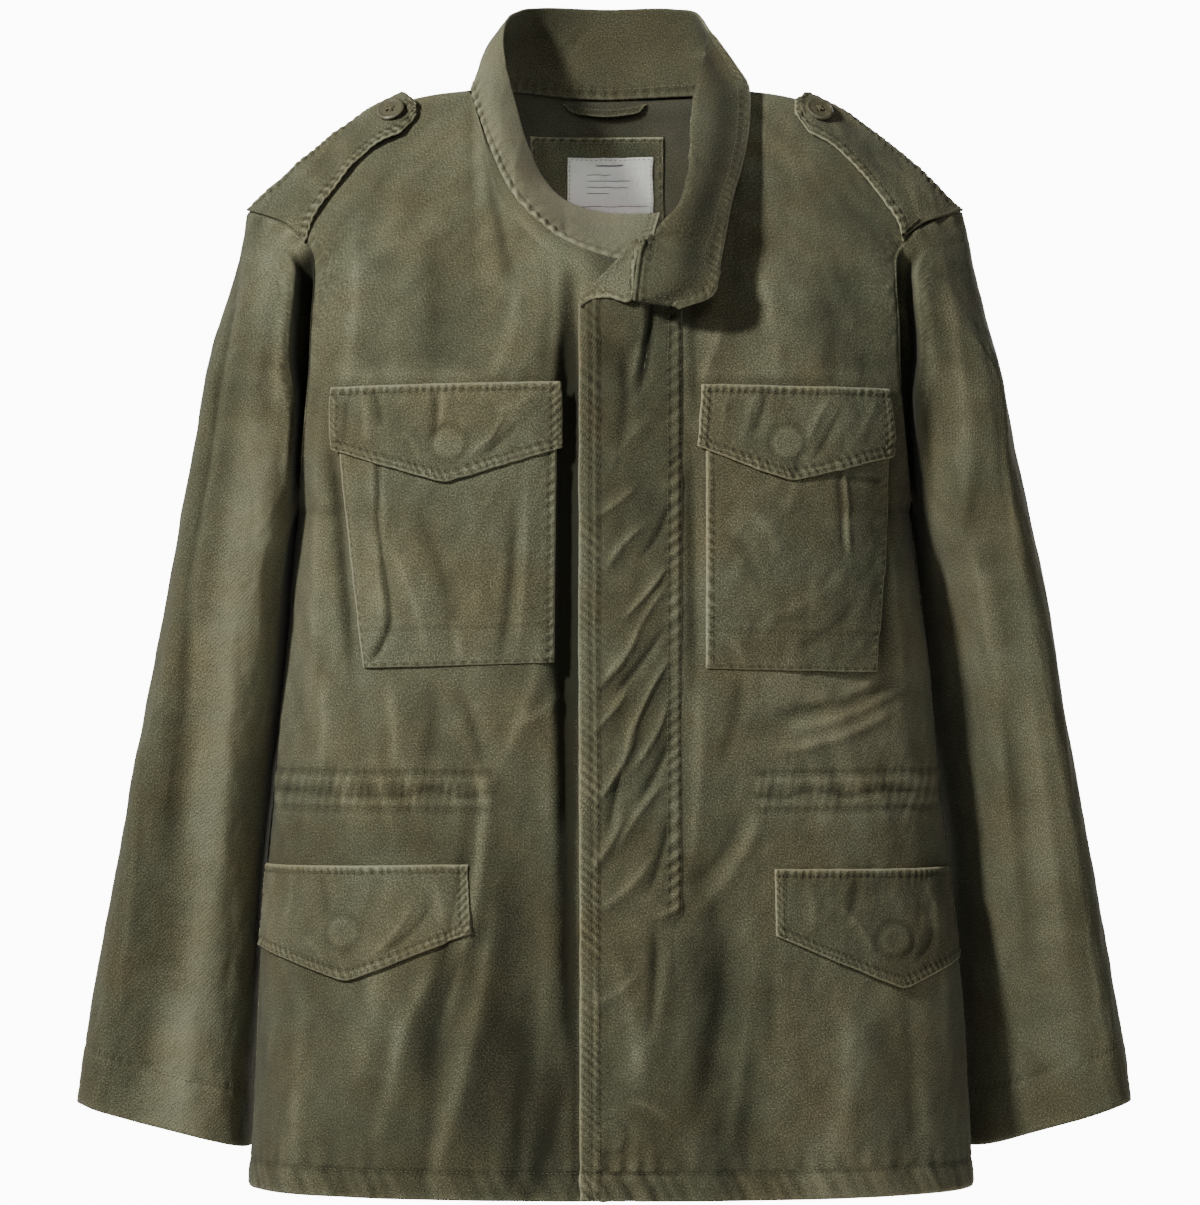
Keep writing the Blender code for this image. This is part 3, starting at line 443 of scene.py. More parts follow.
def add_shell(
    node, grid, fade_and_shade, thickness, material=olive_twill,
    wrap=False, inward=True, uv=None, ending="_shell",
):
    """A wall of cloth in a node's place, on a grid of outer points, with its UV map and its fade_and_shade:
    what stands out is also paler, partly rubbed and partly a painted highlight, and hollows darker as
    painted shade. A wrapped grid's last column joins its first, and a wall that isn't inward lies on
    the other side of its grid."""
    if inward:
        mode = "wrap" if wrap else "edge"
        # painted light and shade over real wear: crests paler as a painted highlight, hollows darker as
        # painted shade
        fade_and_shade = fade_and_shade + RUB_AND_SHADE_SHARE * np.clip(standing_out(grid, RUB_AND_SHADE_REACH, mode), -RUB_AND_SHADE_LIMIT, RUB_AND_SHADE_LIMIT)
    rows, columns = grid.shape[:2]
    index = np.arange(rows * columns).reshape(rows, columns)
    right = np.roll(index, -1, axis=1) if wrap else index[:, 1:]
    left = index if wrap else index[:, :-1]
    faces = np.stack([left[:-1], right[:-1], right[1:], left[1:]], -1).reshape(-1, 4)
    shell = add_mesh(node + ending, grid, faces.tolist(), material)
    uv = cloth_map(grid) if uv is None else uv
    layer = shell.data.uv_layers.new(name="cloth")
    layer.data.foreach_set("uv", uv.reshape(-1, 2)[faces.ravel()].astype(np.float32).ravel())
    attribute = shell.data.attributes.new("fade_and_shade", "FLOAT", "POINT")
    fade_and_shade = np.broadcast_to(fade_and_shade, (rows, columns))
    attribute.data.foreach_set("value", fade_and_shade.astype(np.float32).ravel())
    wall = shell.modifiers.new("wall", "SOLIDIFY")
    wall.thickness = thickness * 0.001
    wall.offset = -1.0 if inward else 1.0
    if thickness == CLOTH:
        shell.data.materials.append(unrubbed_and_shaded_twill)
        wall.material_offset = 1
    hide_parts(node)
    return shell


# Stitches are polyester-cotton thread, a shade paler than the cloth, about three to the centimetre.
STITCH_PITCH = 3.3
STITCH_LENGTH = 2.5
THREAD_WIDTH = 0.62         # drawn a little thicker than real, so that it shows

thread = plain_material("olive_core_spun_thread", "#787359", 0.7)

# A stitch is an eight-cornered bead: two ends, and a ring of three at each shoulder.
ring = 2 * np.pi * np.arange(3) / 3
shoulder = np.stack([np.full(3, 0.27), 0.5 * np.cos(ring), 0.5 * np.sin(ring)], -1)
BEAD = np.concatenate([[[-0.5, 0, -0.2]], shoulder * [-1, 1, 1], shoulder, [[0.5, 0, -0.2]]])
BEAD_CAPS = [(0, 2, 1), (0, 3, 2), (0, 1, 3), (7, 4, 5), (7, 5, 6), (7, 6, 4)]
BEAD_SIDES = [(1, 2, 5), (1, 5, 4), (2, 3, 6), (2, 6, 5), (3, 1, 4), (3, 4, 6)]


def blended(values, i, j):
    """A grid's values at any rows i and columns j, blended from the nearest four."""
    i0 = np.clip(i.astype(int), 0, values.shape[0] - 2)
    j0 = np.clip(j.astype(int), 0, values.shape[1] - 2)
    f, g = (i - i0)[..., None], (j - j0)[..., None]
    return (
        (1 - f) * ((1 - g) * values[i0, j0] + g * values[i0, j0 + 1])
        + f * ((1 - g) * values[i0 + 1, j0] + g * values[i0 + 1, j0 + 1])
    )


def line_on(grid, across, up):
    """A line over a grid at shares of its width and height, with its normals."""
    at = up * (grid.shape[0] - 1), across * (grid.shape[1] - 1)
    return blended(grid, *at), blended(grid_normals(grid), *at)


def seam_on(grid, corners):
    """A line over a grid through corners given as (share across, share up), with its normals."""
    corners = np.asarray(corners, float)
    t = np.linspace(0, len(corners) - 1, 160 * (len(corners) - 1) + 1)
    return line_on(grid, *(np.clip(np.interp(t, np.arange(len(corners)), k), 0, 1) for k in corners.T))


def add_stitches(name, seams):
    """One mesh of short stitches along seams, each a seam's points and normals."""
    corners = []
    for points, normals in seams:
        length = path_length(points)
        count = max(int(length[-1] / STITCH_PITCH), 1)
        at = (np.arange(count) + 0.5) * length[-1] / count
        run = unit(read_path(points, length, at + 1.0) - read_path(points, length, at - 1.0))
        side = unit(np.cross(read_path(normals, length, at), run))
        out = np.cross(run, side)
        axes = np.stack([run * STITCH_LENGTH, side * THREAD_WIDTH, out * THREAD_WIDTH], 1)
        corners.append(read_path(points, length, at)[:, None] + BEAD @ axes)
    corners = np.concatenate(corners)
    faces = np.array(BEAD_CAPS + BEAD_SIDES) + len(BEAD) * np.arange(len(corners))[:, None, None]
    return add_mesh(name, corners, faces.reshape(-1, 3).tolist(), thread)


# ---------------------------------------------------------------------- the body's form
# Fronts and back are cut as flat panels and sewn at the shoulders and sides. Filled out, they make
# one rounded body, from level rings below the chest to a yoke that rises to the shoulder seams.

HEM_Z, ARMPIT_Z, CHEST_Z = -773.0, -300.0, -205.0
YOKE_HIGH = 100.0           # the yoke's height in a form, where its rows are shares of the rise
FORM_COLUMNS, FORM_ROWS = 241, (237, 61, 121)   # half a form's columns; rows to armpit, chest and top
NECK_SHARE = 0.42           # share of half a row that lies below the neckline
RIDGE, NECK_BAND = 3.0, 14.0    # the level strip's width at the shoulder seam and at the neck
STRIP_RISE = 0.975              # the rise at which that strip starts

BODY = table(
    "z   half_width front_depth back_depth squareness shift",
    (-773, 254, 124, 118, 2.30, 4),
    (-700, 251, 122, 114, 2.30, 4),
    (-610, 246, 118, 107, 2.30, 3),
    (-505, 236, 113, 98, 2.30, 2),
    (-400, 226, 117, 104, 2.35, 2),
    (-300, 216, 121, 110, 2.40, 0),
    (-205, 206, 117, 110, 2.40, 0),
)
ARMHOLE = table(
    "z   x",
    (-300, 216),
    (-255, 211),
    (-205, 206),
    (-165, 204.5),
    (-138, 203),
    (-118, 205),
    (-104, 216),
    (-94, 234),
    (-88, 252),
)
SHOULDER_POINT = np.array([252.0, -2.0, -88.0])
ARMHOLE_DEPTH = {"front": 66.0, "back": 72.0}
ARMHOLE_SQUARENESS = 2.3
ARMHOLE_MIDDLE_Z = (SHOULDER_POINT[2] + ARMPIT_Z) / 2
ARMHOLE_HALF_HEIGHT = (SHOULDER_POINT[2] - ARMPIT_Z) / 2
FORWARD = {"front": -1, "back": 1}
SHOULDER = table(
    "x   y   z",
    (95, -8, -2),
    (122, -5, -5),
    (150, -3, -12),
    (173, -2, -24),
    (196, -2, -41),
    (222, -2, -61),
    (252, -2, -88),
)
NECKLINE = {
    "front_left": table(
        "x   y    z",
        (0, -111, -123.5),
        (12, -112.5, -128),
        (24, -112, -128.5),
        (36, -106, -121),
        (50, -96, -108),
        (62, -82, -90),
        (74, -62, -64),
        (84, -36, -30),
        (95, -8, -2),
    ),
    "front_right": table(
        "x   y    z",
        (0, -111, -123.5),
        (22, -106, -114.5),
        (38, -98, -105),
        (52, -87.5, -92),
        (67, -71.5, -73),
        (78, -54.5, -49.5),
        (88, -31, -22.5),
        (95, -8, -2),
    ),
    "back": table(
        "x   y    z",
        (0, 76, -1),
        (35, 73, 1),
        (62, 60, 3),
        (82, 38, 4),
        (93, 14, 2),
        (95, -8, -2),
    ),
}

# The largest folds, with the solids' own sizes: a positive depth is a trough
MAIN_FOLDS = {
    "front": table(
        "x0   z0    x1   z1   half_width depth",
        (-112, -455, -124, -540, 20, 2.5),
        (-150, -120, -172, -200, 18, 3.0),
        (-70, -150, -95, -205, 22, 2.0),
        (-62, -545, -88, -745, 16, 3.5),
        (-130, -640, -150, -760, 20, 2.5),
        (-104, -640, -116, -770, 14, -2.0),
        (76, -560, 80, -750, 17, 4.5),
        (100, -452, 210, -424, 12, 2.5),
        (60, -640, 64, -770, 15, -2.0),
        (170, -130, 186, -205, 16, 3.0),
        (120, -120, 140, -205, 20, -2.0),
        (200, -650, 214, -765, 16, 2.5),
        (-232, -494, -80, -492, 9, 2.2),
        (110, -494, 236, -495, 9, 2.2),
    ),
    "back": table(
        "x0   z0    x1   z1   half_width depth",
        (-60, -160, -72, -470, 24, 4.0),
        (78, -170, 66, -460, 24, 4.0),
        (-150, -180, -120, -330, 20, 4.5),
        (152, -190, 126, -340, 20, 4.5),
        (-110, -520, -126, -765, 22, 4.5),
        (20, -515, 28, -765, 24, 4.0),
        (128, -525, 142, -765, 22, 4.5),
        (-30, -540, -44, -765, 20, -3.0),
        (80, -540, 88, -765, 20, -3.0),
        (-236, -494, 236, -494, 9, 2.5),
    ),
}


def armhole(face, turn):
    """A point of the armhole seam on the wearer's left. turn runs from 0 at the shoulder point to
    1 at the armpit, along one half of an upright rounded loop."""
    angle = np.pi * np.asarray(turn, float)
    power = 2 / ARMHOLE_SQUARENESS
    z = ARMHOLE_MIDDLE_Z + ARMHOLE_HALF_HEIGHT * np.sign(np.cos(angle)) * np.abs(np.cos(angle)) ** power
    y = FORWARD[face] * ARMHOLE_DEPTH[face] * np.abs(np.sin(angle)) ** power
    return np.stack([through(ARMHOLE["z"], ARMHOLE["x"], z), y + SHOULDER_POINT[1] * (1 - turn), z], -1)


def armhole_turn(z):
    """The turn at which the armhole seam passes height z."""
    high = np.clip((z - ARMHOLE_MIDDLE_Z) / ARMHOLE_HALF_HEIGHT, -1, 1)
    return np.arccos(np.sign(high) * np.abs(high) ** (ARMHOLE_SQUARENESS / 2)) / np.pi


def quarter(half_width, depth, power, first, last, steps):
    """Points of a quarter of a superellipse between two angles, counted from its front."""
    angle = np.linspace(first, last, steps)
    return half_width * np.sin(angle) ** (2 / power), depth * np.maximum(np.cos(angle), 0) ** (2 / power)


def level_row(face, side, z, share):
    """Points of the body at one height, from the centre to the side seam or armhole: a quarter of
    a superellipse, cut where it meets the armhole, read at shares of its length."""
    half_width, depth, power, shift = (
        through(BODY["z"], BODY[name], z)
        for name in ("half_width", face + "_depth", "squareness", "shift")
    )
    sleeved = z >= ARMPIT_Z
    end_y = 0.0
    if sleeved:
        half_width, end_y = np.abs(armhole(face, armhole_turn(z))[:2])
        half_width = half_width / (1 - (end_y / depth) ** power) ** (1 / power)
        shift = 0
    last = np.arccos((end_y / depth) ** (power / 2))
    x, y = quarter(half_width + side * shift, depth, power, 0, last, 600)
    row = np.stack([side * x, FORWARD[face] * y, np.full_like(x, z)], -1)
    length = path_length(row)
    spare = 0.0
    if sleeved:
        # just above the armpit the columns swing onto the armhole in their outer part only
        cut_off = np.hypot(*np.diff(quarter(half_width, depth, power, last, np.pi / 2, 200))).sum()
        spare = cut_off * (1 - smooth_step((z - ARMPIT_Z) / (CHEST_Z - ARMPIT_Z)))
    return read_path(row, length, share * length[-1] + spare * (share - share**5))


def top_edge(face, side, share):
    """The upper edge of a panel: the neckline up to NECK_SHARE, then the shoulder seam."""
    neck = xyz(NECKLINE["back" if face == "back" else "front_left" if side > 0 else "front_right"])
    seam = xyz(SHOULDER)
    on_neck = through(share_of_path(neck), neck, np.clip(share / NECK_SHARE, 0, 1))
    on_seam = through(share_of_path(seam), seam, np.clip((share - NECK_SHARE) / (1 - NECK_SHARE), 0, 1))
    return np.where((share < NECK_SHARE)[:, None], on_neck, on_seam) * [side, 1, 1]


def yoke(face, side, share, rise):
    """The body above CHEST_Z. rise runs from 0 there to 1 at the panel's upper edge. Each column is
    a cubic that ends on a level strip beside the shoulder seam, and the outermost columns are drawn
    onto the armhole seam."""
    past_neck = smooth_step((share / NECK_SHARE - 0.55) / 0.45)[:, None]

    def heading(at_neck, past):
        """A way to go, as (towards the seam, up), given at the neck and past it."""
        at_neck, past = (np.array([0.0, -FORWARD[face] * y, z]) for y, z in (at_neck, past))
        return at_neck * (1 - past_neck) + past * past_neck

    foot = level_row(face, side, CHEST_Z, share)
    strip = heading((0.35, 0.94), (1.0, 0.0)) * (NECK_BAND + (RIDGE - NECK_BAND) * past_neck)
    top = top_edge(face, side, share) - strip
    reach = np.linalg.norm(top - foot, axis=1)[:, None]
    leave = reach * heading((0.05, 1.0), (0.30, 0.95))
    arrive = reach * heading((0.35, 0.94), (0.62, 0.60))
    along = np.minimum(rise / STRIP_RISE, 1)[:, None, None]
    on_strip = np.clip((rise - STRIP_RISE) / (1 - STRIP_RISE), 0, 1)[:, None, None]
    points = hermite(foot, top, leave, arrive, along) + strip * on_strip
    seam = armhole(face, armhole_turn(CHEST_Z) * (1 - rise)) * [side, 1, 1]
    return points + (seam - points[:, -1])[:, None, :] * (share**5)[None, :, None]


def fold_depth(folds, x, z):
    """Summed depth of the main folds at (x, z): each is a bell across its line that fades at its
    ends."""
    depth = np.zeros(np.shape(x))
    for *line, half_width, deep in zip(*folds.values()):
        along, aside = beside_line(*line, x, z)
        ends = smooth_step((along + 0.15) / 0.3) * smooth_step((1.15 - along) / 0.3)
        depth += deep * bell(aside, half_width) * ends
    return depth


def make_form(face, crumple):
    """The outer surface of the front or back as a fine grid of points and outward normals. Its
    columns are the signed share of half a row, and its rows a height: z up to CHEST_Z, and past it
    the rise, as if the yoke were YOKE_HIGH high. crumple gives the cloth's own height and fade."""
    share = np.linspace(0, 1, FORM_COLUMNS)
    low, middle, high = FORM_ROWS
    low_z = np.concatenate([np.linspace(HEM_Z, ARMPIT_Z, low)[:-1], np.linspace(ARMPIT_Z, CHEST_Z, middle)])
    rise = np.linspace(0, 1, high)[1:]
    left, right = (
        np.concatenate([
            np.stack([level_row(face, side, z, share) for z in low_z]),
            yoke(face, side, share, rise),
        ])
        for side in (-1, 1)
    )
    points = np.concatenate([left[:, :0:-1], right], axis=1)
    signed_share = np.concatenate([-share[:0:-1], share])
    outward = -FORWARD[face]
    normals = outward * grid_normals(points)
    points = points - normals * fold_depth(MAIN_FOLDS[face], points[..., 0], points[..., 2])[..., None]
    uv = cloth_map(points)
    height, fade_and_shade = crumple(uv[..., 0] * 1000, points[..., 0], points[..., 2])
    # the cloth lies calm where it is sewn: along the upper edge and at both sides
    calm = np.concatenate([np.ones(len(low_z)), smooth_step((1 - rise) / 0.09)])[:, None]
    height = height * calm * smooth_step((1 - np.abs(signed_share)) / 0.02)
    points = points + normals * height[..., None]
    return {
        "share": signed_share,
        "height": np.concatenate([low_z, CHEST_Z + YOKE_HIGH * rise]),
        "points": points,
        "normals": outward * grid_normals(points),
        "uv": uv,
        "fade_and_shade": fade_and_shade[..., None],
    }


def read_form(form, share, height, what="points"):
    """One of a form's grids at (share, height)."""
    i = np.interp(height, form["height"], np.arange(len(form["height"])))
    j = np.interp(share, form["share"], np.arange(len(form["share"])))
    return blended(form[what], i, j)


def surface(form, share, height):
    """Points of a form and its outward normals there."""
    return read_form(form, share, height), read_form(form, share, height, "normals")


def lay_on(form, share, height, lift):
    """Points of a form, moved out along its normals by lift."""
    points, normals = surface(form, share, height)
    return points + normals * np.asarray(lift)[..., None]


def place_on_form(form, x, z):
    """The (share, height) whose point is seen at (x, z) from the front, found by Newton steps."""
    share = np.clip(np.asarray(x, float) / 330, -0.95, 0.95)
    height = np.where(z > CHEST_Z, CHEST_Z + 0.5 * (z - CHEST_Z), z) + 0 * share
    for _ in range(40):
        here = read_form(form, share, height)
        by_share = (read_form(form, share + 0.008, height) - read_form(form, share - 0.008, height)) / 0.016
        by_height = (read_form(form, share, height + 2) - read_form(form, share, height - 2)) / 4
        off_x, off_z = x - here[..., 0], z - here[..., 2]
        size = by_share[..., 0] * by_height[..., 2] - by_share[..., 2] * by_height[..., 0]
        size = np.where(np.abs(size) < 1, 1, size)
        step_share = (off_x * by_height[..., 2] - off_z * by_height[..., 0]) / size
        step_height = (off_z * by_share[..., 0] - off_x * by_share[..., 2]) / size
        share = np.clip(share + 0.8 * np.clip(step_share, -0.1, 0.1), -0.985, 0.985)
        height = np.clip(height + 0.8 * np.clip(step_height, -20, 20), HEM_Z + 1, CHEST_Z + YOKE_HIGH - 1)
    return share, height


def panel_heights(rows, yoke_rows):
    """Heights of a panel's rows, from the hem to the chest and on to its upper edge."""
    low_z = np.linspace(HEM_Z, CHEST_Z, rows)[:-1]
    return np.concatenate([low_z, CHEST_Z + np.linspace(0, YOKE_HIGH, yoke_rows)])


def on_form(form, corners_x, corners_z, steps=220):
    """A line on a form through corners seen at (x, z) from the front, with its normals."""
    t = np.linspace(0, len(corners_x) - 1, steps)
    x, z = (np.interp(t, np.arange(len(corners_x)), corners) for corners in (corners_x, corners_z))
    return surface(form, *place_on_form(form, x, z))


def hem_seam(form, first_share, last_share):
    return surface(form, np.linspace(first_share, last_share, 400), np.full(400, HEM_Z + HEM_ROW))


# ---------------------------------------------------------------------- fronts
# Two panels of one layer. Each carries a hem turned up and sewn once, a waist casing sewn in two
# rows and gathered by a cord, and the pull of the pockets sewn onto it.

FRONT_EDGE_X = {"left": 21.0, "right": 36.0}    # the edges of the opening
UNDERLAP_INSET = 2.6        # how far the right front lies behind the left one
FRONT_COLUMNS = {"left": 100, "right": 104}
FRONT_ROWS = (204, 56)      # below the chest and in the yoke
HEM_ROW = 19.0              # from the bottom edge to the row of stitches
CASING_Z = (-505.5, -480.5)
CASING_X = {"right": (-232.0, -77.0), "left": (104.0, 234.0)}

FRONT_CREASES = crease_table(
    (-30, -190, -28, -430, 46, -3.2, 0, 0),
    (-112, -70, -104, -190, 34, -1.2, 6, 0),
    (-66, -640, -44, -760, 26, -2.4, 4, 0.2),
    (-62, -570, -50, -780, 56, -2.8, 0, 0),
    (-96, -630, -126, -770, 12, -1.4, -8, 0.3),
    (-30, -690, -52, -770, 9, -1.2, 3, 0.2),
    (-150, -560, -176, -700, 26, 2, 6, 0),
    (96, -610, 92, -760, 24, -2.6, 4, 0.2),
    (-174, -112, -179, -212, 13, 1.6, 4, 0),
    (-120, -112, -121, -206, 20, -1.6, 3, 0),
    (-26, -156, -26, -440, 7, -1.6, 1, 0),
    (-21, -361, -31, -567, 8, -1.4, 3, 0.2),
    (-83, -500, -108, -640, 8, 1.8, 5, 0.4),
    (-96, -512, -124, -646, 7, -1.5, 5, 0),
    (-90.6, -505, -94, -552, 2.6, -1, 1, 0.3),
    (-92, -596, -124, -690, 11, -2.4, -6, 0.3),
    (-112, -606, -146, -700, 10, 1.2, -6, 0),
    (-140, -636, -158, -734, 13, 1.2, 4, 0),
    (-58, -446, -22, -422, 6, 1, 2, 0.2),
    (-44, -389, -72, -474, 9, 1.2, 4, 0.2),
    (-120, -420, -124, -474, 9, -1.2, 2, 0),
    (-100, -426, -86, -478, 5, -0.9, 2, 0.3),
    (-196, -416, -198, -476, 7, 1, 2, 0),
    (-150, -420, -146, -478, 6, 0.9, 2, 0.2),
    (-76, -560, -114, -742, 9, 1.3, 6, 0.3),
    (-42, -590, -52, -742, 12, 1.1, 3, 0),
    (-210, -640, -222, -760, 10, 1, 3, 0),
    (-60, -690, -66, -766, 6, -0.9, 2, 0.2),
    (80, -596, 60, -716, 13, -2.2, 5, 0.3),
    (46, -576, 15, -698, 13, 1.5, 6, 0),
    (100, -600, 84, -730, 9, 1, 4, 0.2),
    (113, -622, 112, -670, 7, -0.9, 2, 0.2),
    (134, -448, 203, -422, 5.5, 1.3, 4, 0.3),
    (126, -463, 197, -438, 5, 1.2, 4, 0.3),
    (140, -432, 190, -414, 4.5, 1, 3, 0.3),
    (120, -440, 166, -424, 4.5, -0.8, 3, 0),
    (65, -426, 58, -545, 8, 1.1, 2, 0),
    (93, -414, 79, -470, 7, -0.9, 3, 0.2),
    (106, -506, 66, -570, 9, 1.2, 5, 0.2),
    (92, -512, 60, -556, 5, -0.8, 4, 0.2),
    (168, -640, 160, -742, 13, 1.2, 4, 0),
    (206, -640, 213, -742, 9, -1, 3, 0),
    (230, -560, 236, -700, 9, 1.1, 2, 0),
    (79, -170, 65, -212, 8, 1.1, 2, 0),
    (154, -150, 158, -212, 12, -1.1, 3, 0),
    (104, -128, 118, -204, 10, 1, 4, 0),
    (-60, -140, -78, -206, 10, 0.9, 4, 0),
    (-40, -134, -44, -208, 7, -0.9, 2, 0),
    (196, -300, 204, -420, 6, 1, 2, 0),
    (-200, -260, -204, -420, 7, 0.9, 2, 0),
)


# Valleys of the panel alone: beside the placket's free edge, beside the pockets, under the collar.
# They are also painted darker, as painted shade
FRONT_VALLEYS = crease_table(
    (-26, -170, -27, -480, 8, -11, 0, 0),
    (-25, -470, -25, -650, 7, -7, 0, 0),
    (-21, -600, -21, -770, 3.5, -1.2, 0, 0),
    (-190, -262, -177, -404, 6, -3.5, 0, 0),
    (197, -262, 192, -404, 8, -4, 0, 0),
    (58, -260, 60, -410, 5, -2.5, 0, 0),
    (60, -150, 62, -230, 6, -2, 0, 0),
)


def hem_relief(run, z, seed):
    """The turned hem: a puffed band gathered in slants, a groove at its stitches, and soft pulls
    that die out above it."""
    above = z - HEM_Z
    past_row = above - HEM_ROW
    wave = 0.55 * gather(run + 0.5 * above, 11.0, seed) + 0.7 * noise_1d((run + 0.6 * above) / 6.0, seed + 1)
    band = smooth_step(above / 2) * smooth_step((2 - past_row) / 3)
    pulls = gather(run, 14.0, seed + 3) * smooth_step(past_row / 3) * np.exp(-np.maximum(past_row, 0) / 13)
    height = band * (0.5 + 0.8 * wave) - 0.8 * bell(past_row, 1.3) + 0.9 * pulls
    fade_and_shade = 0.5 * bell(above, 1.6) + 0.12 * wave * band - 0.45 * bell(past_row, 1.1) * (0.6 - 0.4 * wave)
    return height, fade_and_shade


def casing_relief(x, z, ends, seed):
    """The gathered waist casing: a puffed band between two rows, pulled into uneven upright
    gathers that fade out above and below, with a crease along its middle."""
    low, high = CASING_Z
    within = smooth_step((x - ends[0] + 4) / 8) * smooth_step((ends[1] + 4 - x) / 8)
    off_middle = z - (low + high) / 2
    off_crease = off_middle - 3.5 * noise_1d(x / 24, seed + 7) + 1
    wave = noise_1d((x + 0.25 * off_middle) / 7.0, seed)
    small = gather(x - 0.2 * off_middle, 6.5, seed + 3)
    height = (
        1.2 * smooth_step((z - low) / 5) * smooth_step((high - z) / 5)
        + 1.05 * wave * np.exp(-np.abs(off_middle) / 22)
        + 0.7 * small * bell(off_middle, 17)
        - 1.5 * bell(off_crease, 1.3) * (0.6 + 0.4 * noise_1d(x / 26, seed + 9))
        - 1.2 * bell(z - low, 1.2) - 1.2 * bell(z - high, 1.2)
    )
    fade_and_shade = (
        0.12 * (wave + small) * bell(off_middle, 13) - 0.12 * bell(off_crease, 1.5)
        - 0.4 * (bell(z - low, 0.8) + bell(z - high, 0.8)) * (0.6 - 0.4 * small)
    )
    return height * within, fade_and_shade * within


def panel_relief(u, x, z, folds, casings, seed):
    """Height and fade of a panel: unevenness, its creases, its hem and its casings."""
    height = rumple(u, z, seed) + folds
    fade_and_shade = 0.05 * noise_2d(u / 40, z / 70, seed + 20)
    sewn = [hem_relief(u, z, seed + 30)]
    sewn += [casing_relief(x, z, ends, seed + 40 + 10 * k) for k, ends in enumerate(casings)]
    for lift, pale in sewn:
        height, fade_and_shade = height + lift, fade_and_shade + pale
    return height, fade_and_shade


def front_crumple(u, x, z):
    """The fronts' height and fade_and_shade. Their creases are painted paler on the crests and darker in
    the troughs as painted light and shade; from the chest pocket down the wearer's left front is painted
    lighter, a painted light where the lamps reach it less; and both are painted darker from below the
    chest pockets down, a painted shade where the light falls off.
    """
    folds = creases(FRONT_CREASES, x, z)
    height, fade_and_shade = panel_relief(u, x, z, 1.7 * folds, CASING_X.values(), 11)
    # painted light on the wearer's left front, where the lamps reach it less, and painted shade lower down,
    # where the light falls off
    painted_light_on_left_front = 0.3 * smooth_step((x - 40) / 130) * smooth_step((-260 - z) / 120)
    return height, fade_and_shade + 0.10 * folds + painted_light_on_left_front - 0.18 * smooth_step((-380 - z) / 200)


def front_shell(side_name):
    """One front: its rows start where the opening's edge crosses them and end at the side seam."""
    side = 1 if side_name == "left" else -1
    heights = panel_heights(*FRONT_ROWS)
    lookup = FRONT["share"]
    starts = []
    for z in heights:
        row_x = read_form(FRONT, lookup, np.full(len(lookup), z))[:, 0]
        starts.append([side * np.interp(FRONT_EDGE_X[side_name], row_x, lookup)])
    starts = np.array(starts)
    share = (side * (starts + (1 - starts) * np.linspace(0, 1, FRONT_COLUMNS[side_name])))[:, ::side]
    height = np.broadcast_to(heights[:, None], share.shape)
    grid, normals = surface(FRONT, share, height)
    u, edge_u = (read_form(FRONT, s, height, "uv")[..., 0] * 1000 for s in (share, side + 0 * share))
    from_side = np.abs(edge_u - u)
    sleeved = smooth_step((height - ARMPIT_Z + 6) / 20)
    # the seams at the side and round the armhole lie in a dip, and puckers run out of them
    valleys = creases(FRONT_VALLEYS, grid[..., 0], grid[..., 2])
    seam_dip = sleeved * bell(from_side, 2.0) + (1 - sleeved) * 1.6 * bell(from_side, 2.5)
    puckers = gather(height + 0.5 * from_side, 9.0, 25 + side)
    puckers = puckers * bell(from_side - 4, 5) * smooth_step(from_side / 2)
    top_dip = 1.2 * smooth_step((height - CHEST_Z - YOKE_HIGH + 2.5) / 2)
    grid = grid + normals * (valleys - seam_dip + 0.35 * puckers - top_dip)[..., None]
    grid[..., 1] += 1.8 * (1 - sleeved) * bell(from_side, 2.5)
    if side < 0:
        grid[..., 1] += UNDERLAP_INSET * smooth_step((grid[..., 0] + 18) / 24)
    fade_and_shade = read_form(FRONT, share, height, "fade_and_shade")[..., 0]
    # painted shade: the valleys are painted darker as well as sunk
    fade_and_shade = fade_and_shade + 0.09 * creases(FRONT_VALLEYS, grid[..., 0], grid[..., 2])
    return add_shell("front_" + side_name, grid, fade_and_shade, CLOTH, uv=read_form(FRONT, share, height, "uv"))


FRONT = make_form("front", front_crumple)
for side_name in ("left", "right"):
    front_shell(side_name)
add_stitches("front_stitches", [
    hem_seam(FRONT, -0.995, -0.06),
    hem_seam(FRONT, 0.07, 0.995),
    *(on_form(FRONT, CASING_X[side], (z, z)) for side in ("right", "left") for z in CASING_Z),
])

# ---------------------------------------------------------------------- back
# One panel of one layer with the same hem, and the waist casing right across it.

BACK_CREASES = crease_table(
    (-180, -150, -196, -280, 14, -1.6, 6, 0),
    (182, -150, 198, -280, 14, -1.6, -6, 0),
    (-30, -110, -44, -300, 16, 1.4, 5, 0),
    (36, -120, 24, -330, 16, 1.2, -5, 0),
    (-96, -330, -84, -478, 11, 1.4, 4, 0.2),
    (100, -320, 92, -476, 11, 1.4, -4, 0.2),
    (0, -360, -6, -480, 12, -1.3, 3, 0),
    (-150, -560, -164, -750, 13, 1.4, 5, 0),
    (54, -540, 60, -750, 12, 1.3, 4, 0),
    (172, -560, 186, -750, 13, 1.3, 4, 0),
    (-70, -600, -78, -750, 10, -1.2, 3, 0.2),
    (-200, -330, -150, -380, 7, 1.2, 4, 0.3),
    (200, -330, 152, -384, 7, 1.2, 4, 0.3),
    (-206, -350, -166, -402, 6, -1, 4, 0.3),
    (206, -350, 170, -404, 6, -1, 4, 0.3),
)
BACK_CASING_X = (-236.0, 238.0)
BACK_COLUMNS, BACK_ROWS = 130, (140, 34)


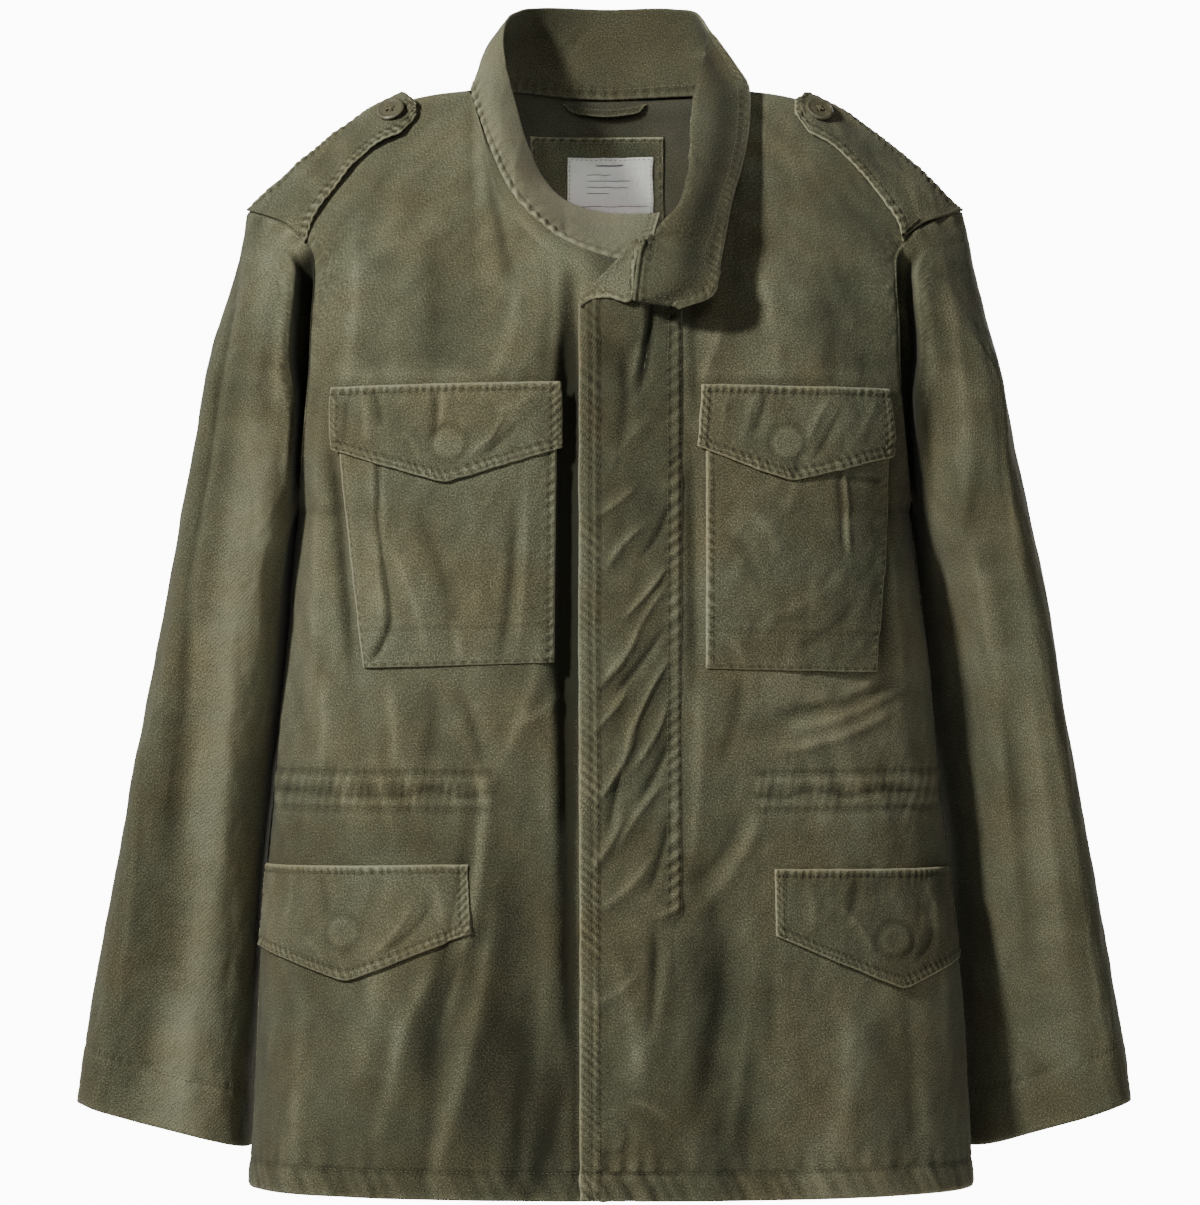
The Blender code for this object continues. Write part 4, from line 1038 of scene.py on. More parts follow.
def back_crumple(u, x, z):
    return panel_relief(u, x, z, 1.5 * creases(BACK_CREASES, x, z), [BACK_CASING_X], 71)


BACK = make_form("back", back_crumple)
back_place = np.meshgrid(np.linspace(1, -1, BACK_COLUMNS), panel_heights(*BACK_ROWS))
back_points, back_fade, back_uv = (read_form(BACK, *back_place, what) for what in ("points", "fade_and_shade", "uv"))
back = add_shell("back", back_points, back_fade[..., 0], CLOTH, uv=back_uv)
add_stitches("back_stitches", [
    hem_seam(BACK, -0.995, 0.995),
    *(on_form(BACK, BACK_CASING_X, (z, z), 500) for z in CASING_Z),
])

# ---------------------------------------------------------------------- sleeves
# Each sleeve is one tube of one layer, set into the armhole with a little ease and closed by a
# long seam under the arm. The cuff is turned up deeply and sewn once.

SLEEVE = table(
    "outer_x outer_z inner_x inner_z middle_y half_depth turn",
    (269, -168, 218, -318, 3, 78, 10),
    (288, -262, 221, -352, 6, 79, 20),
    (308, -362, 226, -420, 11, 76, 32),
    (330, -474, 236, -520, 17, 69, 38),
    (351, -588, 244, -632, 22, 61, 40),
    (366, -672, 249, -712, 25, 54, 40),
    (372, -714, 251, -749, 26, 50, 38),
)
SLEEVE_SQUARENESS = 4.0
SLEEVE_BACK_BY = {"left": 13.0, "right": 2.0}
# how much each ring's inner side slants away from the body towards the front
SLEEVE_SLANT = {
    "left": (0.12, 0.26, 0.34, 0.38, 0.38, 0.36, 0.30),
    "right": (0.07, 0.09, 0.10, 0.10, 0.10, 0.09, 0.08),
}
CUFF_ROW = 41.0             # from the cuff's edge to its row of stitches
SLEEVE_ROUND = 420.0        # about the length round a sleeve, for its gathers

SLEEVE_CREASES = {
    "right": crease_table(
        (-258, -118, -288, -340, 5, -2.2, 3, 0.3),
        (-288, -330, -300, -520, 8, -1.8, 3, 0.2),
        (-300, -480, -306, -640, 12, -1.2, 4, 0),
        (-266, -130, -298, -340, 8, 1.2, 3, 0),
        (-238, -130, -262, -340, 12, 1.2, 4, 0),
        (-226, -120, -236, -230, 6, -1.4, 2, 0.2),
        (-262, -340, -272, -560, 14, 1.4, 4, 0),
        (-326, -480, -340, -640, 8, 1, 3, 0),
        (-262, -560, -268, -690, 9, -0.9, 2, 0),
        (-290, -640, -300, -720, 9, 0.9, 2, 0),
        (-318, -640, -330, -700, 8, -0.8, 2, 0),
    ),
    "left": crease_table(
        (236, -130, 250, -300, 8, 1.5, 4, 0.2),
        (254, -130, 282, -340, 10, -1.6, 5, 0.2),
        (272, -170, 312, -400, 9, 1.5, 5, 0),
        (256, -320, 280, -500, 8, 1.6, 4, 0.3),
        (268, -400, 296, -590, 9, -1.6, 4, 0.2),
        (292, -420, 316, -620, 10, 1.4, 4, 0),
        (268, -560, 280, -690, 8, 1.1, 3, 0.2),
        (330, -560, 342, -690, 11, -1, 3, 0),
        (312, -600, 322, -700, 8, 0.8, 2, 0),
    ),
}


def sleeve_grid(around, along, slant, back_by):
    """Rings of a sleeve from the cuff to the armhole, on the wearer's left. Each ring starts at
    its outer point and runs round the front to the inner side."""
    turn = np.linspace(0, 2, around + 1)[:-1]
    angle = np.pi * turn
    top = np.where((turn <= 1)[:, None], armhole("front", turn), armhole("back", 2 - turn))
    top[0, 1] = SHOULDER_POINT[1]
    lean = SLEEVE["turn"] / 2
    centre_y = SLEEVE["middle_y"] + back_by * smooth_step((-200 - SLEEVE["outer_z"]) / 120)
    outer = np.stack([SLEEVE["outer_x"], centre_y - lean, SLEEVE["outer_z"]], -1)
    inner = np.stack([SLEEVE["inner_x"], centre_y + lean, SLEEVE["inner_z"]], -1)
    middle, reach = (outer + inner) / 2, (outer - inner) / 2
    across, ahead = (
        np.sign(wave) * np.abs(wave) ** (2 / SLEEVE_SQUARENESS) for wave in (np.cos(angle), np.sin(angle))
    )
    forward = SLEEVE["half_depth"][:, None] * ahead
    rings = middle[:, None] + reach[:, None] * across[:, None]
    rings[..., 1] -= forward
    rings[..., 0] += np.array(slant)[:, None] * forward * smooth_step((1 - np.cos(angle)) / 2)
    middles = np.concatenate([top.mean(0)[None], middle])
    share = np.concatenate([np.linspace(0, 0.045, 20)[:-1], np.linspace(0.045, 1, along - 18)])
    return through(share_of_path(middles), np.concatenate([top[None], rings]), share)[::-1]


def sleeve_relief(grid, side_name, seed):
    """Height, fade and set-back over a sleeve's grid. The cap's ease gathers below the armhole
    seam, the inner side dips back beside the body, and the cuff is a puffed band above its edge."""
    around = grid.shape[1]
    _, _, from_cuff, from_top = edge_runs(grid)
    x, y, z = np.moveaxis(grid, -1, 0)
    in_front = smooth_step((SLEEVE["middle_y"].mean() - y + 10) / 50)
    turn = np.linspace(0, 2, around + 1)[:-1][None, :]
    from_outer = np.minimum(turn, 2 - turn)
    u = 210 * from_outer
    round_run = SLEEVE_ROUND * turn / 2
    # the noise of front and back meets in a third one at the outer and inner points
    parted = smooth_step(6 * from_outer) * smooth_step(6 * np.abs(turn - 1))
    faces = np.where(turn <= 1, rumple(u, from_cuff, seed), rumple(u + 999, from_cuff, seed + 5))
    height = faces * parted + rumple(55.0, from_cuff, seed + 9) * (1 - parted)
    height = height + 1.8 * in_front * creases(SLEEVE_CREASES[side_name], x, z)
    cap = 1 - smooth_step((from_outer - 0.15) / 0.6)
    ease = gather(round_run, 11.0, seed + 20)
    height = height + (0.5 + 0.7 * cap) * ease * bell(from_top, 11) * smooth_step(from_top / 2)
    wave = gather(round_run + 0.5 * from_cuff, 9.0, seed + 23)
    past_row = from_cuff - CUFF_ROW
    height = height + 0.35 * smooth_step(from_cuff / 2) * smooth_step((2 - past_row) / 4)
    height = height + wave * (0.5 * bell(past_row - 1, 6) + 0.3 * bell(from_cuff, 5))
    height = height - 0.6 * bell(past_row, 1.4)
    fade_and_shade = 0.35 * bell(from_cuff, 2.2) + 0.2 * wave * bell(past_row, 4) + 0.15 * bell(from_top, 3)
    fade_and_shade = fade_and_shade + 0.05 * noise_2d(u / 40, from_cuff / 70, seed + 30)
    # painted light and shade: the wearer's right sleeve has a painted highlight down its front, is
    # painted a little darker over the rest of its front, and has painted shade along its inner edge beside
    # the body; the left one has painted shade over the inner third of its front, below the shoulder
    across = (np.abs(x) - np.abs(x).min(1, keepdims=True)) / np.ptp(np.abs(x), axis=1)[:, None]
    if side_name == "right":
        painted_highlight_ridge = (0.3 + 0.45 * smooth_step((-170 - z) / 160)) * bell(across - 0.4, 0.26)
        fade_and_shade = fade_and_shade + in_front * (painted_highlight_ridge - 0.15 - 0.9 * (1 - smooth_step(across / 0.12)))
    else:
        fade_and_shade = fade_and_shade - 1.6 * in_front * (1 - smooth_step(across / 0.32)) * smooth_step((-130 - z) / 120)
    beside_body = smooth_step((-112 - z) / 40) * smooth_step((z + 300) / 40) * (turn <= 1)
    dip = 38.0 * smooth_step(from_top / 1.6) * smooth_step((17.0 - from_top) / 4.0)
    return height, fade_and_shade, beside_body * (dip - 4.0 * bell(from_top - 26, 9))


SLEEVE_AROUND, SLEEVE_ALONG = 116, 168
for side_name, side, seed in (("left", 1, 131), ("right", -1, 171)):
    grid = sleeve_grid(SLEEVE_AROUND, SLEEVE_ALONG, SLEEVE_SLANT[side_name], SLEEVE_BACK_BY[side_name])
    grid = grid * [side, 1, 1]
    height, fade_and_shade, back_by = sleeve_relief(grid, side_name, seed)
    outward = grid_normals(np.concatenate([grid[:, -1:], grid, grid[:, :1]], axis=1))[:, 1:-1]
    outward *= np.sign(((grid - grid.mean(axis=1, keepdims=True)) * outward).sum(-1).mean())
    grid = grid + outward * height[..., None]
    grid[..., 1] += back_by
    uv = cloth_map(grid[:, ::side])[:, ::-1]
    # seen from outside, the shell's columns run to the right
    grid, fade_and_shade = grid[:, ::-side], fade_and_shade[:, ::-side]
    sleeve = add_shell("sleeve_" + side_name, grid, fade_and_shade, CLOTH, wrap=True, uv=uv)
    ring = np.linspace(0, 1, 12)
    cuff_up = [CUFF_ROW / path_length(grid[:, int(s * (SLEEVE_AROUND - 1))])[-1] for s in ring]
    add_stitches("sleeve_%s_stitches" % side_name, [seam_on(grid, np.stack([ring, cuff_up], -1))])

# ---------------------------------------------------------------------- collar
# A stand collar of two layers, sewn into the neckline and stitched round its free edge. It stands
# up round the back; on the wearer's left it is opened, and rolls over onto the front.

COLLAR = table(
    "seam_x seam_y seam_z  roll_x roll_y roll_z  edge_x edge_y edge_z",
    (30, -107.5, -127, 33, -88, -110, 38, -62, -92),
    (4, -108.5, -124.5, 4, -87, -108, 4, -58, -92),
    (-22, -106, -114, -21, -83, -100, -20, -54, -86),
    (-52, -87.5, -91.5, -47, -67, -79, -41, -43, -69),
    (-67, -71.5, -72.5, -61, -55, -55, -54, -33, -42),
    (-78, -54.5, -49, -72, -39, -29, -63, -17, -12),
    (-88, -31, -22, -81, -19, 1, -70, -4, 18),
    (-95, -7, -1, -86, 2, 22, -72, 12, 40),
    (-93, 14, 3, -84, 20, 32, -69, 26, 53),
    (-82, 38, 5, -75, 41, 35, -60, 44, 60),
    (-62, 60, 4, -57, 61, 34, -47, 58, 63),
    (0, 76, 0, 0, 76, 31, 0, 71, 63),
    (62, 60, 4, 58, 61, 34, 50, 57, 62),
    (82, 38, 5, 76, 41, 33, 66, 43, 57),
    (93, 14, 3, 72, 20, 40, 77, 10, 37),
    (95, -7, -1, 66, -6, 19, 92, -12, 14),
    (84, -35, -29, 59, -48, -15, 101, -28, -8),
    (74, -61, -63, 57, -76, -45, 98.5, -52, -40),
    (62, -81, -89, 55.5, -97, -71, 93, -74, -64),
    (50, -96, -107, 48, -112, -91, 86, -94, -89),
    (36, -106, -120, 38, -119, -102, 82, -110, -112),
    (27, -118, -117, 33, -114, -111, 79, -116, -128),
    (21.5, -125, -131, 46, -124, -134, 77, -126, -141),
    (19.5, -128, -149, 44, -129, -150, 71, -130, -153.5),
    (19, -128, -156, 35, -130, -158.5, 50, -131, -160.5),
)
COLLAR_CREASES = crease_table(
    (60, 8, 64, 44, 4, 0.8, 1, 0.2),
    (120, 10, 128, 48, 7, -0.8, 2, 0),
    (210, 6, 216, 50, 9, 0.8, 2, 0),
    (330, 10, 322, 52, 8, -0.8, 2, 0),
    (392, 8, 400, 54, 10, 0.9, 2, 0),
    (470, 30, 500, 50, 6, -1, 2, 0.2),
    (520, 20, 560, 44, 7, 1, 2, 0.2),
    (600, 6, 602, 30, 2.6, 1.2, 1, 0.3),
    (586, 26, 600, 46, 5, -1, 1, 0.2),
    (622, 20, 634, 44, 5, 1, 1, 0.2),
)


def sewn_relief(grid, seed, left=(), right=(), low=(), high=(), pitch=6.0, depth=0.85):
    """Summed height and fade beside those edges of a grid that have rows of stitches."""
    runs = edge_runs(grid)
    height, fade_and_shade = np.zeros(grid.shape[:2]), np.zeros(grid.shape[:2])
    for k, rows in enumerate((left, right, low, high)):
        if rows:
            lift, pale = sewn_edge(runs[k], runs[2 if k < 2 else 0], seed + 7 * k, rows, pitch, depth)
            height, fade_and_shade = height + lift, fade_and_shade + pale
    return height, fade_and_shade


def beside(grid, edge, distance, start=0.0, end=0.0):
    """A line over a grid at one distance in from an edge, that stops start and end millimetres
    short of the edge's two ends, with its normals."""
    upright = edge in ("left", "right")
    at_start = edge in ("left", "low")
    lines = grid if upright else np.swapaxes(grid, 0, 1)
    rim = lines[:, 0 if at_start else -1]
    rim_length = path_length(rim)
    shares = np.linspace(0, 1, len(rim))
    at = np.interp(np.linspace(start, rim_length[-1] - end, 240), rim_length, shares)
    inward = distance / np.interp(at, shares, np.linalg.norm(np.diff(lines, axis=1), axis=-1).sum(1))
    inward = inward if at_start else 1 - inward
    return line_on(grid, inward, at) if upright else line_on(grid, at, inward)


def over_the_crest(first, crest, last, rows, bend=9.0):
    """Rows of points from first over crest to last: two straight stretches and a round bend."""
    low = np.linalg.norm(crest - first, axis=1)
    high = np.linalg.norm(last - crest, axis=1)
    before = crest + (first - crest) * (np.minimum(bend, 0.45 * low) / low)[:, None]
    after = crest + (last - crest) * (np.minimum(bend, 0.45 * high) / high)[:, None]
    straight = rows // 3
    f = np.linspace(0, 1, straight + 1)[:, None, None]
    turn = np.linspace(0, 1, rows - 2 * straight + 1)[1:-1, None, None]
    rise = first + (before - first) * f
    round_part = (1 - turn) ** 2 * before + 2 * turn * (1 - turn) * crest + turn**2 * after
    return np.concatenate([rise, round_part, after + (last - after) * f])


t = np.linspace(0, 1, 420)
roll_share = share_of_path(xyz(COLLAR, "roll_"))
seam, roll, edge = (through(roll_share, xyz(COLLAR, part), t) for part in ("seam_", "roll_", "edge_"))
run = np.gradient(seam, axis=0)
inward = unit(np.stack([run[:, 1], -run[:, 0], 0 * t], -1))
# the lower edge goes over the fronts' and under the back's, and where it is turned it lies on the front
behind = smooth_step((seam[:, 1:2] + 30) / 30)
shift = (2.1 * behind - 0.5) * inward - [0, 0, 1.0] - behind * [0, 0, 1.2]
seam = seam + smooth_step((seam[:, 1:2] + 118) / 8) * shift
opened = smooth_step((t[:, None] - 0.5) / 0.08)
seam = seam + opened * smooth_step((seam[:, 1:2] + 112) / 8) * [0, -1.2, -3.2]
collar_grid = over_the_crest(seam, roll, edge, 36)
from_left, from_right, from_low, from_high = edge_runs(collar_grid)
height, fade_and_shade = sewn_relief(collar_grid, 211, left=(2, 6.5), pitch=6.5, depth=0.35)
end_height, end_fade = sewn_edge(from_right, from_low, 215, (6.5,), 7.0, 0.3)
seam_height, seam_fade = sewn_edge(from_low, from_left, 217, (7.0,), 8.5, 1.15, 0.5)
edge_height, edge_fade = sewn_edge(from_high, from_left, 221, (6.5,), 6.5, 0.8)
pucker = gather(from_left + 0.5 * from_low, 9.5, 225) * np.exp(-np.maximum(from_low - 6, 0) / 6)
pucker = pucker * (1 - 0.8 * smooth_step((t - 0.32) / 0.06))
turned = smooth_step((t - 0.56) / 0.08)
seen_edge = 0.1 + 0.9 * turned
height = (
    height + end_height - seam_height - 0.9 * pucker + edge_height * seen_edge
    + rumple(from_left, from_low, 231, 0.8) + creases(COLLAR_CREASES, from_left, from_low)
    + 1.8 * bell(from_low, 2.0) * smooth_step((t - 0.9) / 0.03)
)
# painted light and shade: on the wearer's right the band is painted pale as a highlight, from the
# back of the neck on it is painted dark as shade, the turned part is painted a little paler with painted
# shade over its middle, and where it rolls over it is paler, partly rubbed and partly a painted highlight
crest = np.linspace(0, 1, len(collar_grid))[:, None]
rolled = smooth_step((t - 0.55) / 0.1) * smooth_step((0.84 - t) / 0.06)
fade_and_shade = (
    fade_and_shade + np.minimum(0.35 * end_fade, 0.1) + np.minimum(seam_fade, 0.2) + 0.5 * pucker
    + edge_fade * seen_edge + 0.36 - 0.6 * smooth_step((t - 0.34) / 0.06)
    + turned * (0.15 - 0.5 * bell(from_high - 20, 11)) + 0.8 * bell(crest - 0.43, 0.06) * rolled
)
collar_grid = collar_grid + grid_normals(collar_grid) * height[..., None]
collar = add_shell("collar", collar_grid, fade_and_shade, DOUBLE_CLOTH, inward=False)
outer_face = collar_grid + grid_normals(collar_grid) * DOUBLE_CLOTH
points, normals = beside(collar_grid, "low", 7.0)
collar_stitches = add_stitches("collar_stitches", [
    beside(outer_face, "high", 6.5, 400, 6),
    beside(outer_face, "low", 7.0),
    beside(outer_face, "right", 6.5, 2, 6),
    (points, -normals),
])

# ---------------------------------------------------------------------- storm placket
# A strip of two layers over both edges of the opening. Its free edge, on the viewer's left, is
# turned and stitched twice; its other edge is sewn down flat, and the whole strip has rucked up.

PLACKET_X = (-17.5, 53.0)
PLACKET_TOP = table("x z", (-17.5, -158), (6, -132), (24, -132), (36, -125), (53, -108))
PLACKET_FOOT_Z = -571.0     # where the sewn-down edge ends in a bar of stitches
PLACKET_ROWS = (8.0, 13.7)  # from the free edge to its rows of stitches
LAY_GAP = 0.8               # from a panel to the cloth that lies on it
PLACKET_CREASES = crease_table(
    (31, -156, 24, -214, 3.5, -2, 2, 0.3),
    (25, -160, 18, -212, 4.5, 1.2, 2, 0),
    (12, -190, 8, -270, 6, -1, 3, 0),
    (-4, -303, 20, -284, 4.5, 1.3, 1, 0.4),
    (4, -270, 30, -236, 7, 1, -2, 0.2),
    (14, -372, 40, -341, 3.6, 1.9, 1, 0.5),
    (-2, -418, 22, -384, 4.5, 1.8, 2, 0.5),
    (20, -386, 41, -352, 4, 1.4, -1, 0.4),
    (8, -424, 38, -384, 2.6, -1.4, 1, 0.4),
    (2, -338, 26, -310, 3.6, 1.4, -2, 0.4),
    (26, -330, 44, -296, 3, -1, 2, 0.3),
    (-8, -452, 14, -424, 4.5, 1.5, 1, 0.5),
    (-4, -498, 20, -452, 4.5, 1.8, 2, 0.5),
    (14, -462, 42, -404, 3.4, 1.8, -2, 0.5),
    (18, -478, 43, -430, 4, 1.5, 3, 0.4),
    (24, -498, 44, -458, 3.4, -1.4, 1, 0.4),
    (-9, -546, 12, -508, 5, 1.6, 2, 0.5),
    (10, -530, 38, -488, 4.6, 1.6, -2, 0.4),
    (-2, -572, 30, -540, 5.5, 1.4, 3, 0.4),
    (30, -560, 44, -512, 3, -1.2, 1, 0.3),
    (2, -520, 10, -480, 3, -1.2, 0, 0.4),
    (4, -600, 26, -700, 12, 1.4, 4, 0),
    (-10, -610, -6, -690, 6, 0.8, 2, 0),
    (18, -704, 44, -716, 5, 1, 2, 0.3),
    (-10, -640, 22, -618, 5, 0.9, 2, 0.3),
    (34, -590, 30, -660, 5, -1.4, 1, 0.2),
)
PLACKET_SNAP = (4.5, -729.0)
SNAP_RADIUS = 9.5           # to the rim of a press stud's mark


def snap_mark(x, z, centre):
    """The round mark that a press stud leaves on the cloth above it: a low plateau with a soft rim
    and a shallow moat."""
    reach = np.hypot(x - centre[0], z - centre[1]) - SNAP_RADIUS
    return 0.8 * smooth_step((1.0 - reach) / 3.0) + 0.35 * bell(reach, 1.6) - 0.5 * bell(reach - 3.0, 2.5)


x = np.linspace(*PLACKET_X, 50)
foot_z = HEM_Z + 0.4
z = foot_z + (np.interp(x, PLACKET_TOP["x"], PLACKET_TOP["z"]) - foot_z) * np.linspace(0, 1, 460)[:, None]
x = x + 0 * z
place = place_on_form(FRONT, x, z)
free, sewn = x - PLACKET_X[0], PLACKET_X[1] - x
below_foot = smooth_step((PLACKET_FOOT_Z - 2 - z) / 10)
standing = DOUBLE_CLOTH + LAY_GAP + 1.2 * smooth_step((z + 200) / 60) + 0.7 * bell(free - 10, 9)
flat_edge = 0.35 * (1 - below_foot) - 0.4 * below_foot
lift = flat_edge + (standing - flat_edge) * smooth_step(sewn / (3 + 26 * below_foot))
height, fade_and_shade = sewn_edge(free, z, 251, PLACKET_ROWS, 6.5, 0.85, 0.9)
seam_height, seam_fade = sewn_edge(sewn, z, 261, (1.5, 9.0), 9.0, 0.4)
seam_height = seam_height + 0.8 * smooth_step((1.6 - sewn) / 1.6)
hem_height, hem_fade = hem_relief(x, z, 271)
folds = creases(PLACKET_CREASES, x, z)
inner = smooth_step(free / 12) * smooth_step((sewn + 4) / 12)
height = (
    height + seam_height * (1 - below_foot) + hem_height * 0.8 + 1.5 * folds * (0.25 + 0.75 * inner)
    + rumple(x, z, 281, 0.8) + 0.7 * snap_mark(x, z, PLACKET_SNAP)
)
# painted light and shade: the folds are painted darker in their troughs and a little paler on their crests;
# the whole placket is a little darker, and darker still towards its top
fade_and_shade = (
    fade_and_shade + seam_fade * (1 - below_foot) + hem_fade + 0.04 * folds + 0.16 * np.minimum(folds, 0)
    - 0.12 - 0.2 * smooth_step((z + 360) / 120)
)
placket_grid = lay_on(FRONT, *place, lift + height)
placket = add_shell("storm_placket", placket_grid, fade_and_shade, DOUBLE_CLOTH)
foot = (PLACKET_FOOT_Z - HEM_Z) / (np.mean(PLACKET_TOP["z"]) - HEM_Z)
span = PLACKET_X[1] - PLACKET_X[0]
placket_stitches = add_stitches("storm_placket_stitches", [
    beside(placket_grid, "left", PLACKET_ROWS[0], 2, 30),
    beside(placket_grid, "left", PLACKET_ROWS[1], 2, 34),
    *(seam_on(placket_grid, [(1 - row / span, foot), (1 - row / span, 1.0)]) for row in (1.5, 10.0)),
    seam_on(placket_grid, [(1 - 14.0 / span, foot - 0.006), (0.99, foot - 0.006)]),
    beside(placket_grid, "low", HEM_ROW),
])

# The placket's top corner is folded back with the collar, and shows its stitched underside.
TURNED_CORNER = table(
    "fold_x fold_y fold_z  edge_x edge_y edge_z",
    (-17.9, -122, -156, -17.8, -122.5, -159.5),
    (-9, -122.5, -146.5, -9, -123.5, -154.5),
    (0, -122.5, -137.5, 3, -125.5, -153.5),
    (9, -121.5, -127.5, 18, -128, -155),
    (16, -119, -119.5, 19.5, -125, -131.5),
    (22, -117.5, -114, 23.2, -119.5, -118.5),
)
fold, edge = xyz(TURNED_CORNER, "fold_"), xyz(TURNED_CORNER, "edge_")
fold, edge = (through(share_of_path(fold), line, np.linspace(0, 1, 44)) for line in (fold, edge))
corner_grid = fold + (edge - fold) * np.linspace(1, 0, 18)[:, None, None]
height, fade_and_shade = sewn_relief(corner_grid, 291, low=(2.5,), pitch=6.0, depth=0.8)
_, from_right, _, from_fold = edge_runs(corner_grid)
height = (height + 1.2 * bell(from_fold, 4)) * smooth_step(from_right / 6)
corner_grid = corner_grid + grid_normals(corner_grid) * height[..., None]
# painted highlight: the turned corner is painted paler all over, where it faces the light
corner = add_shell("placket_corner", corner_grid, fade_and_shade + 0.2, DOUBLE_CLOTH, inward=False)

# ---------------------------------------------------------------------- chest pockets
# Patch pockets of one layer, sewn down on three sides. The outer side is let out by a folded
# gusset, so that edge stands off the front; the mouth's facing shows as a row of stitches.

CHEST_POCKET = {
    "right": {"top": ((-184, -232), (-33, -232)), "bottom": ((-166, -408), (-35, -404))},
    "left": {"top": ((69, -236), (193, -236)), "bottom": ((69, -408), (186, -411))},
}
POCKET_PUFF = 2.4           # how far a pocket's middle stands off
POCKET_GUSSET = {"right": 3.2, "left": 6.5}     # how far its outer edge stands off
POCKET_CREASES = {
    "right": crease_table(
        (-154.5, -262, -154, -318, 2, -1.6, 0, 0.3),
        (-154, -312, -147, -378, 2, -1.6, 1, 0.3),
        (-147, -374, -160, -402, 2.6, -2, 2, 0.3),
        (-158.5, -262, -151, -384, 4, 1.2, 0, 0.3),
        (-150, -272, -149, -330, 3, 0.8, 0, 0.3),
        (-164, -300, -158, -392, 7, 0.8, 1, 0),
        (-146, -322, -122, -398, 6, 1, 4, 0.3),
        (-128, -300, -104, -384, 9, -0.9, 4, 0),
        (-92, -290, -88, -384, 12, 0.8, 2, 0),
        (-62, -300, -72, -398, 5, -1.1, 2, 0.3),
        (-54, -280, -60, -396, 5, 0.9, 2, 0.3),
        (-104, -376, -98, -404, 4, 0.7, 1, 0),
    ),
    "left": crease_table(
        (161, -270, 164, -330, 2, 1.2, 0, 0.3),
        (157, -270, 160, -330, 2.6, -0.8, 0, 0),
        (162, -277, 186, -278, 2.2, -1, 0, 0.2),
        (98, -300, 118, -330, 8, 0.9, 3, 0.2),
        (84, -316, 104, -352, 8, -0.8, 3, 0),
        (112, -372, 160, -342, 8, 0.8, 4, 0.2),
        (136, -392, 166, -366, 7, -0.7, 3, 0),
        (80, -382, 96, -404, 6, 0.8, 2, 0),
        (130, -270, 122, -300, 7, 0.7, 2, 0),
    ),
}


def between(start, end, t):
    return np.asarray(start) + (np.asarray(end) - np.asarray(start)) * np.asarray(t)[..., None]


def bump(t):
    """Rises from 0 at t = 0 to 1, stays there, and falls to 0 at t = 1."""
    return smooth_step(t / 0.3) * smooth_step((1 - t) / 0.3)


def pocket_lift(side, x, z):
    """How far a chest pocket's face stands off the front: a low swell in its middle, and the outer
    edge held off by the gusset, most just below the flap and little at the foot."""
    (top_left, top), (top_right, _) = CHEST_POCKET[side]["top"]
    (foot_left, foot), (foot_right, _) = CHEST_POCKET[side]["bottom"]
    t = (z - foot) / (top - foot)
    left, right = foot_left + (top_left - foot_left) * t, foot_right + (top_right - foot_right) * t
    s = (x - left) / (right - left)
    outer = 1 - s if side == "right" else s
    edge = smooth_step((outer - 0.25) / 0.75) * (0.45 + 0.55 * smooth_step(t / 0.45))
    edge = edge * smooth_step((1.12 - t) / 0.2)
    return POCKET_PUFF * bump(s) * bump(t) + POCKET_GUSSET[side] * edge


GUSSET_STEPS = 8
for side, outer, inner, seed, swell_seed, flat in (
    ("right", "left", "right", 301, 351, (0.165, 0.182)),
    ("left", "right", "left", 331, 371, (0.145, 0.182)),
):
    s, t = np.meshgrid(np.linspace(0, 1, 84), np.linspace(0, 1, 104))
    bottom, top = (between(*CHEST_POCKET[side][edge], s) for edge in ("bottom", "top"))
    x, z = np.moveaxis(bottom * (1 - t)[..., None] + top * t[..., None], -1, 0)
    share, height = place_on_form(FRONT, x, z)
    face = read_form(FRONT, share, height)
    relief, fade_and_shade = sewn_relief(face, seed, low=(1.8,), pitch=7.0, depth=0.6, **{inner: (5.0,), outer: (2.0,)})
    folds = creases(POCKET_CREASES[side], x, z)
    # painted light and shade: the folds are painted darker in their troughs and a little paler on their
    # crests
    fade_and_shade = fade_and_shade + 0.05 * folds + 0.14 * np.minimum(folds, 0)
    from_foot = edge_runs(face)[2]
    relief = relief + 1.3 * folds - 0.35 * bell(from_foot - 26, 1.2) + 0.2 * bell(from_foot - 30, 3)
    relief = relief + rumple(x, z, swell_seed, 0.8) * bump(s) * bump(t)
    lift = LAY_GAP + CLOTH + pocket_lift(side, x, z) + relief
    # the gusset: from the outer edge down to the front and a little way under the pocket, painted
    # darker as it goes under, a painted shade
    outward = -1 if side == "right" else 1
    sheets = [values[:, ::outward] for values in (share, height, lift, fade_and_shade)]
    edge_share, edge_height, edge_lift, edge_fade = (values[:, -1:] for values in sheets)
    f = np.linspace(0, 1, GUSSET_STEPS + 1)[1:]
    gusset = (
        edge_share - outward * 0.016 * f**2, edge_height + 0 * f,
        0.2 + (edge_lift - 0.2) * (1 - f) ** 1.2, edge_fade * (1 - f) - 0.25 * f,
    )
    share, height, lift, fade_and_shade = (np.concatenate(pair, 1)[:, ::outward] for pair in zip(sheets, gusset))
    grid = lay_on(FRONT, share, height, lift)
    pocket = add_shell("chest_pocket_" + side, grid, fade_and_shade, CLOTH)
    face = grid[:, ::outward][:, :-GUSSET_STEPS][:, ::outward]
    pocket_stitches = add_stitches("chest_pocket_%s_stitches" % side, [
        beside(face, "low", 1.8, 2, 2),
        beside(face, "low", 26.0, 2, 2),
        beside(face, inner, 5.0, 2, 30),
        beside(face, outer, 2.0, 2, 30),
    ])

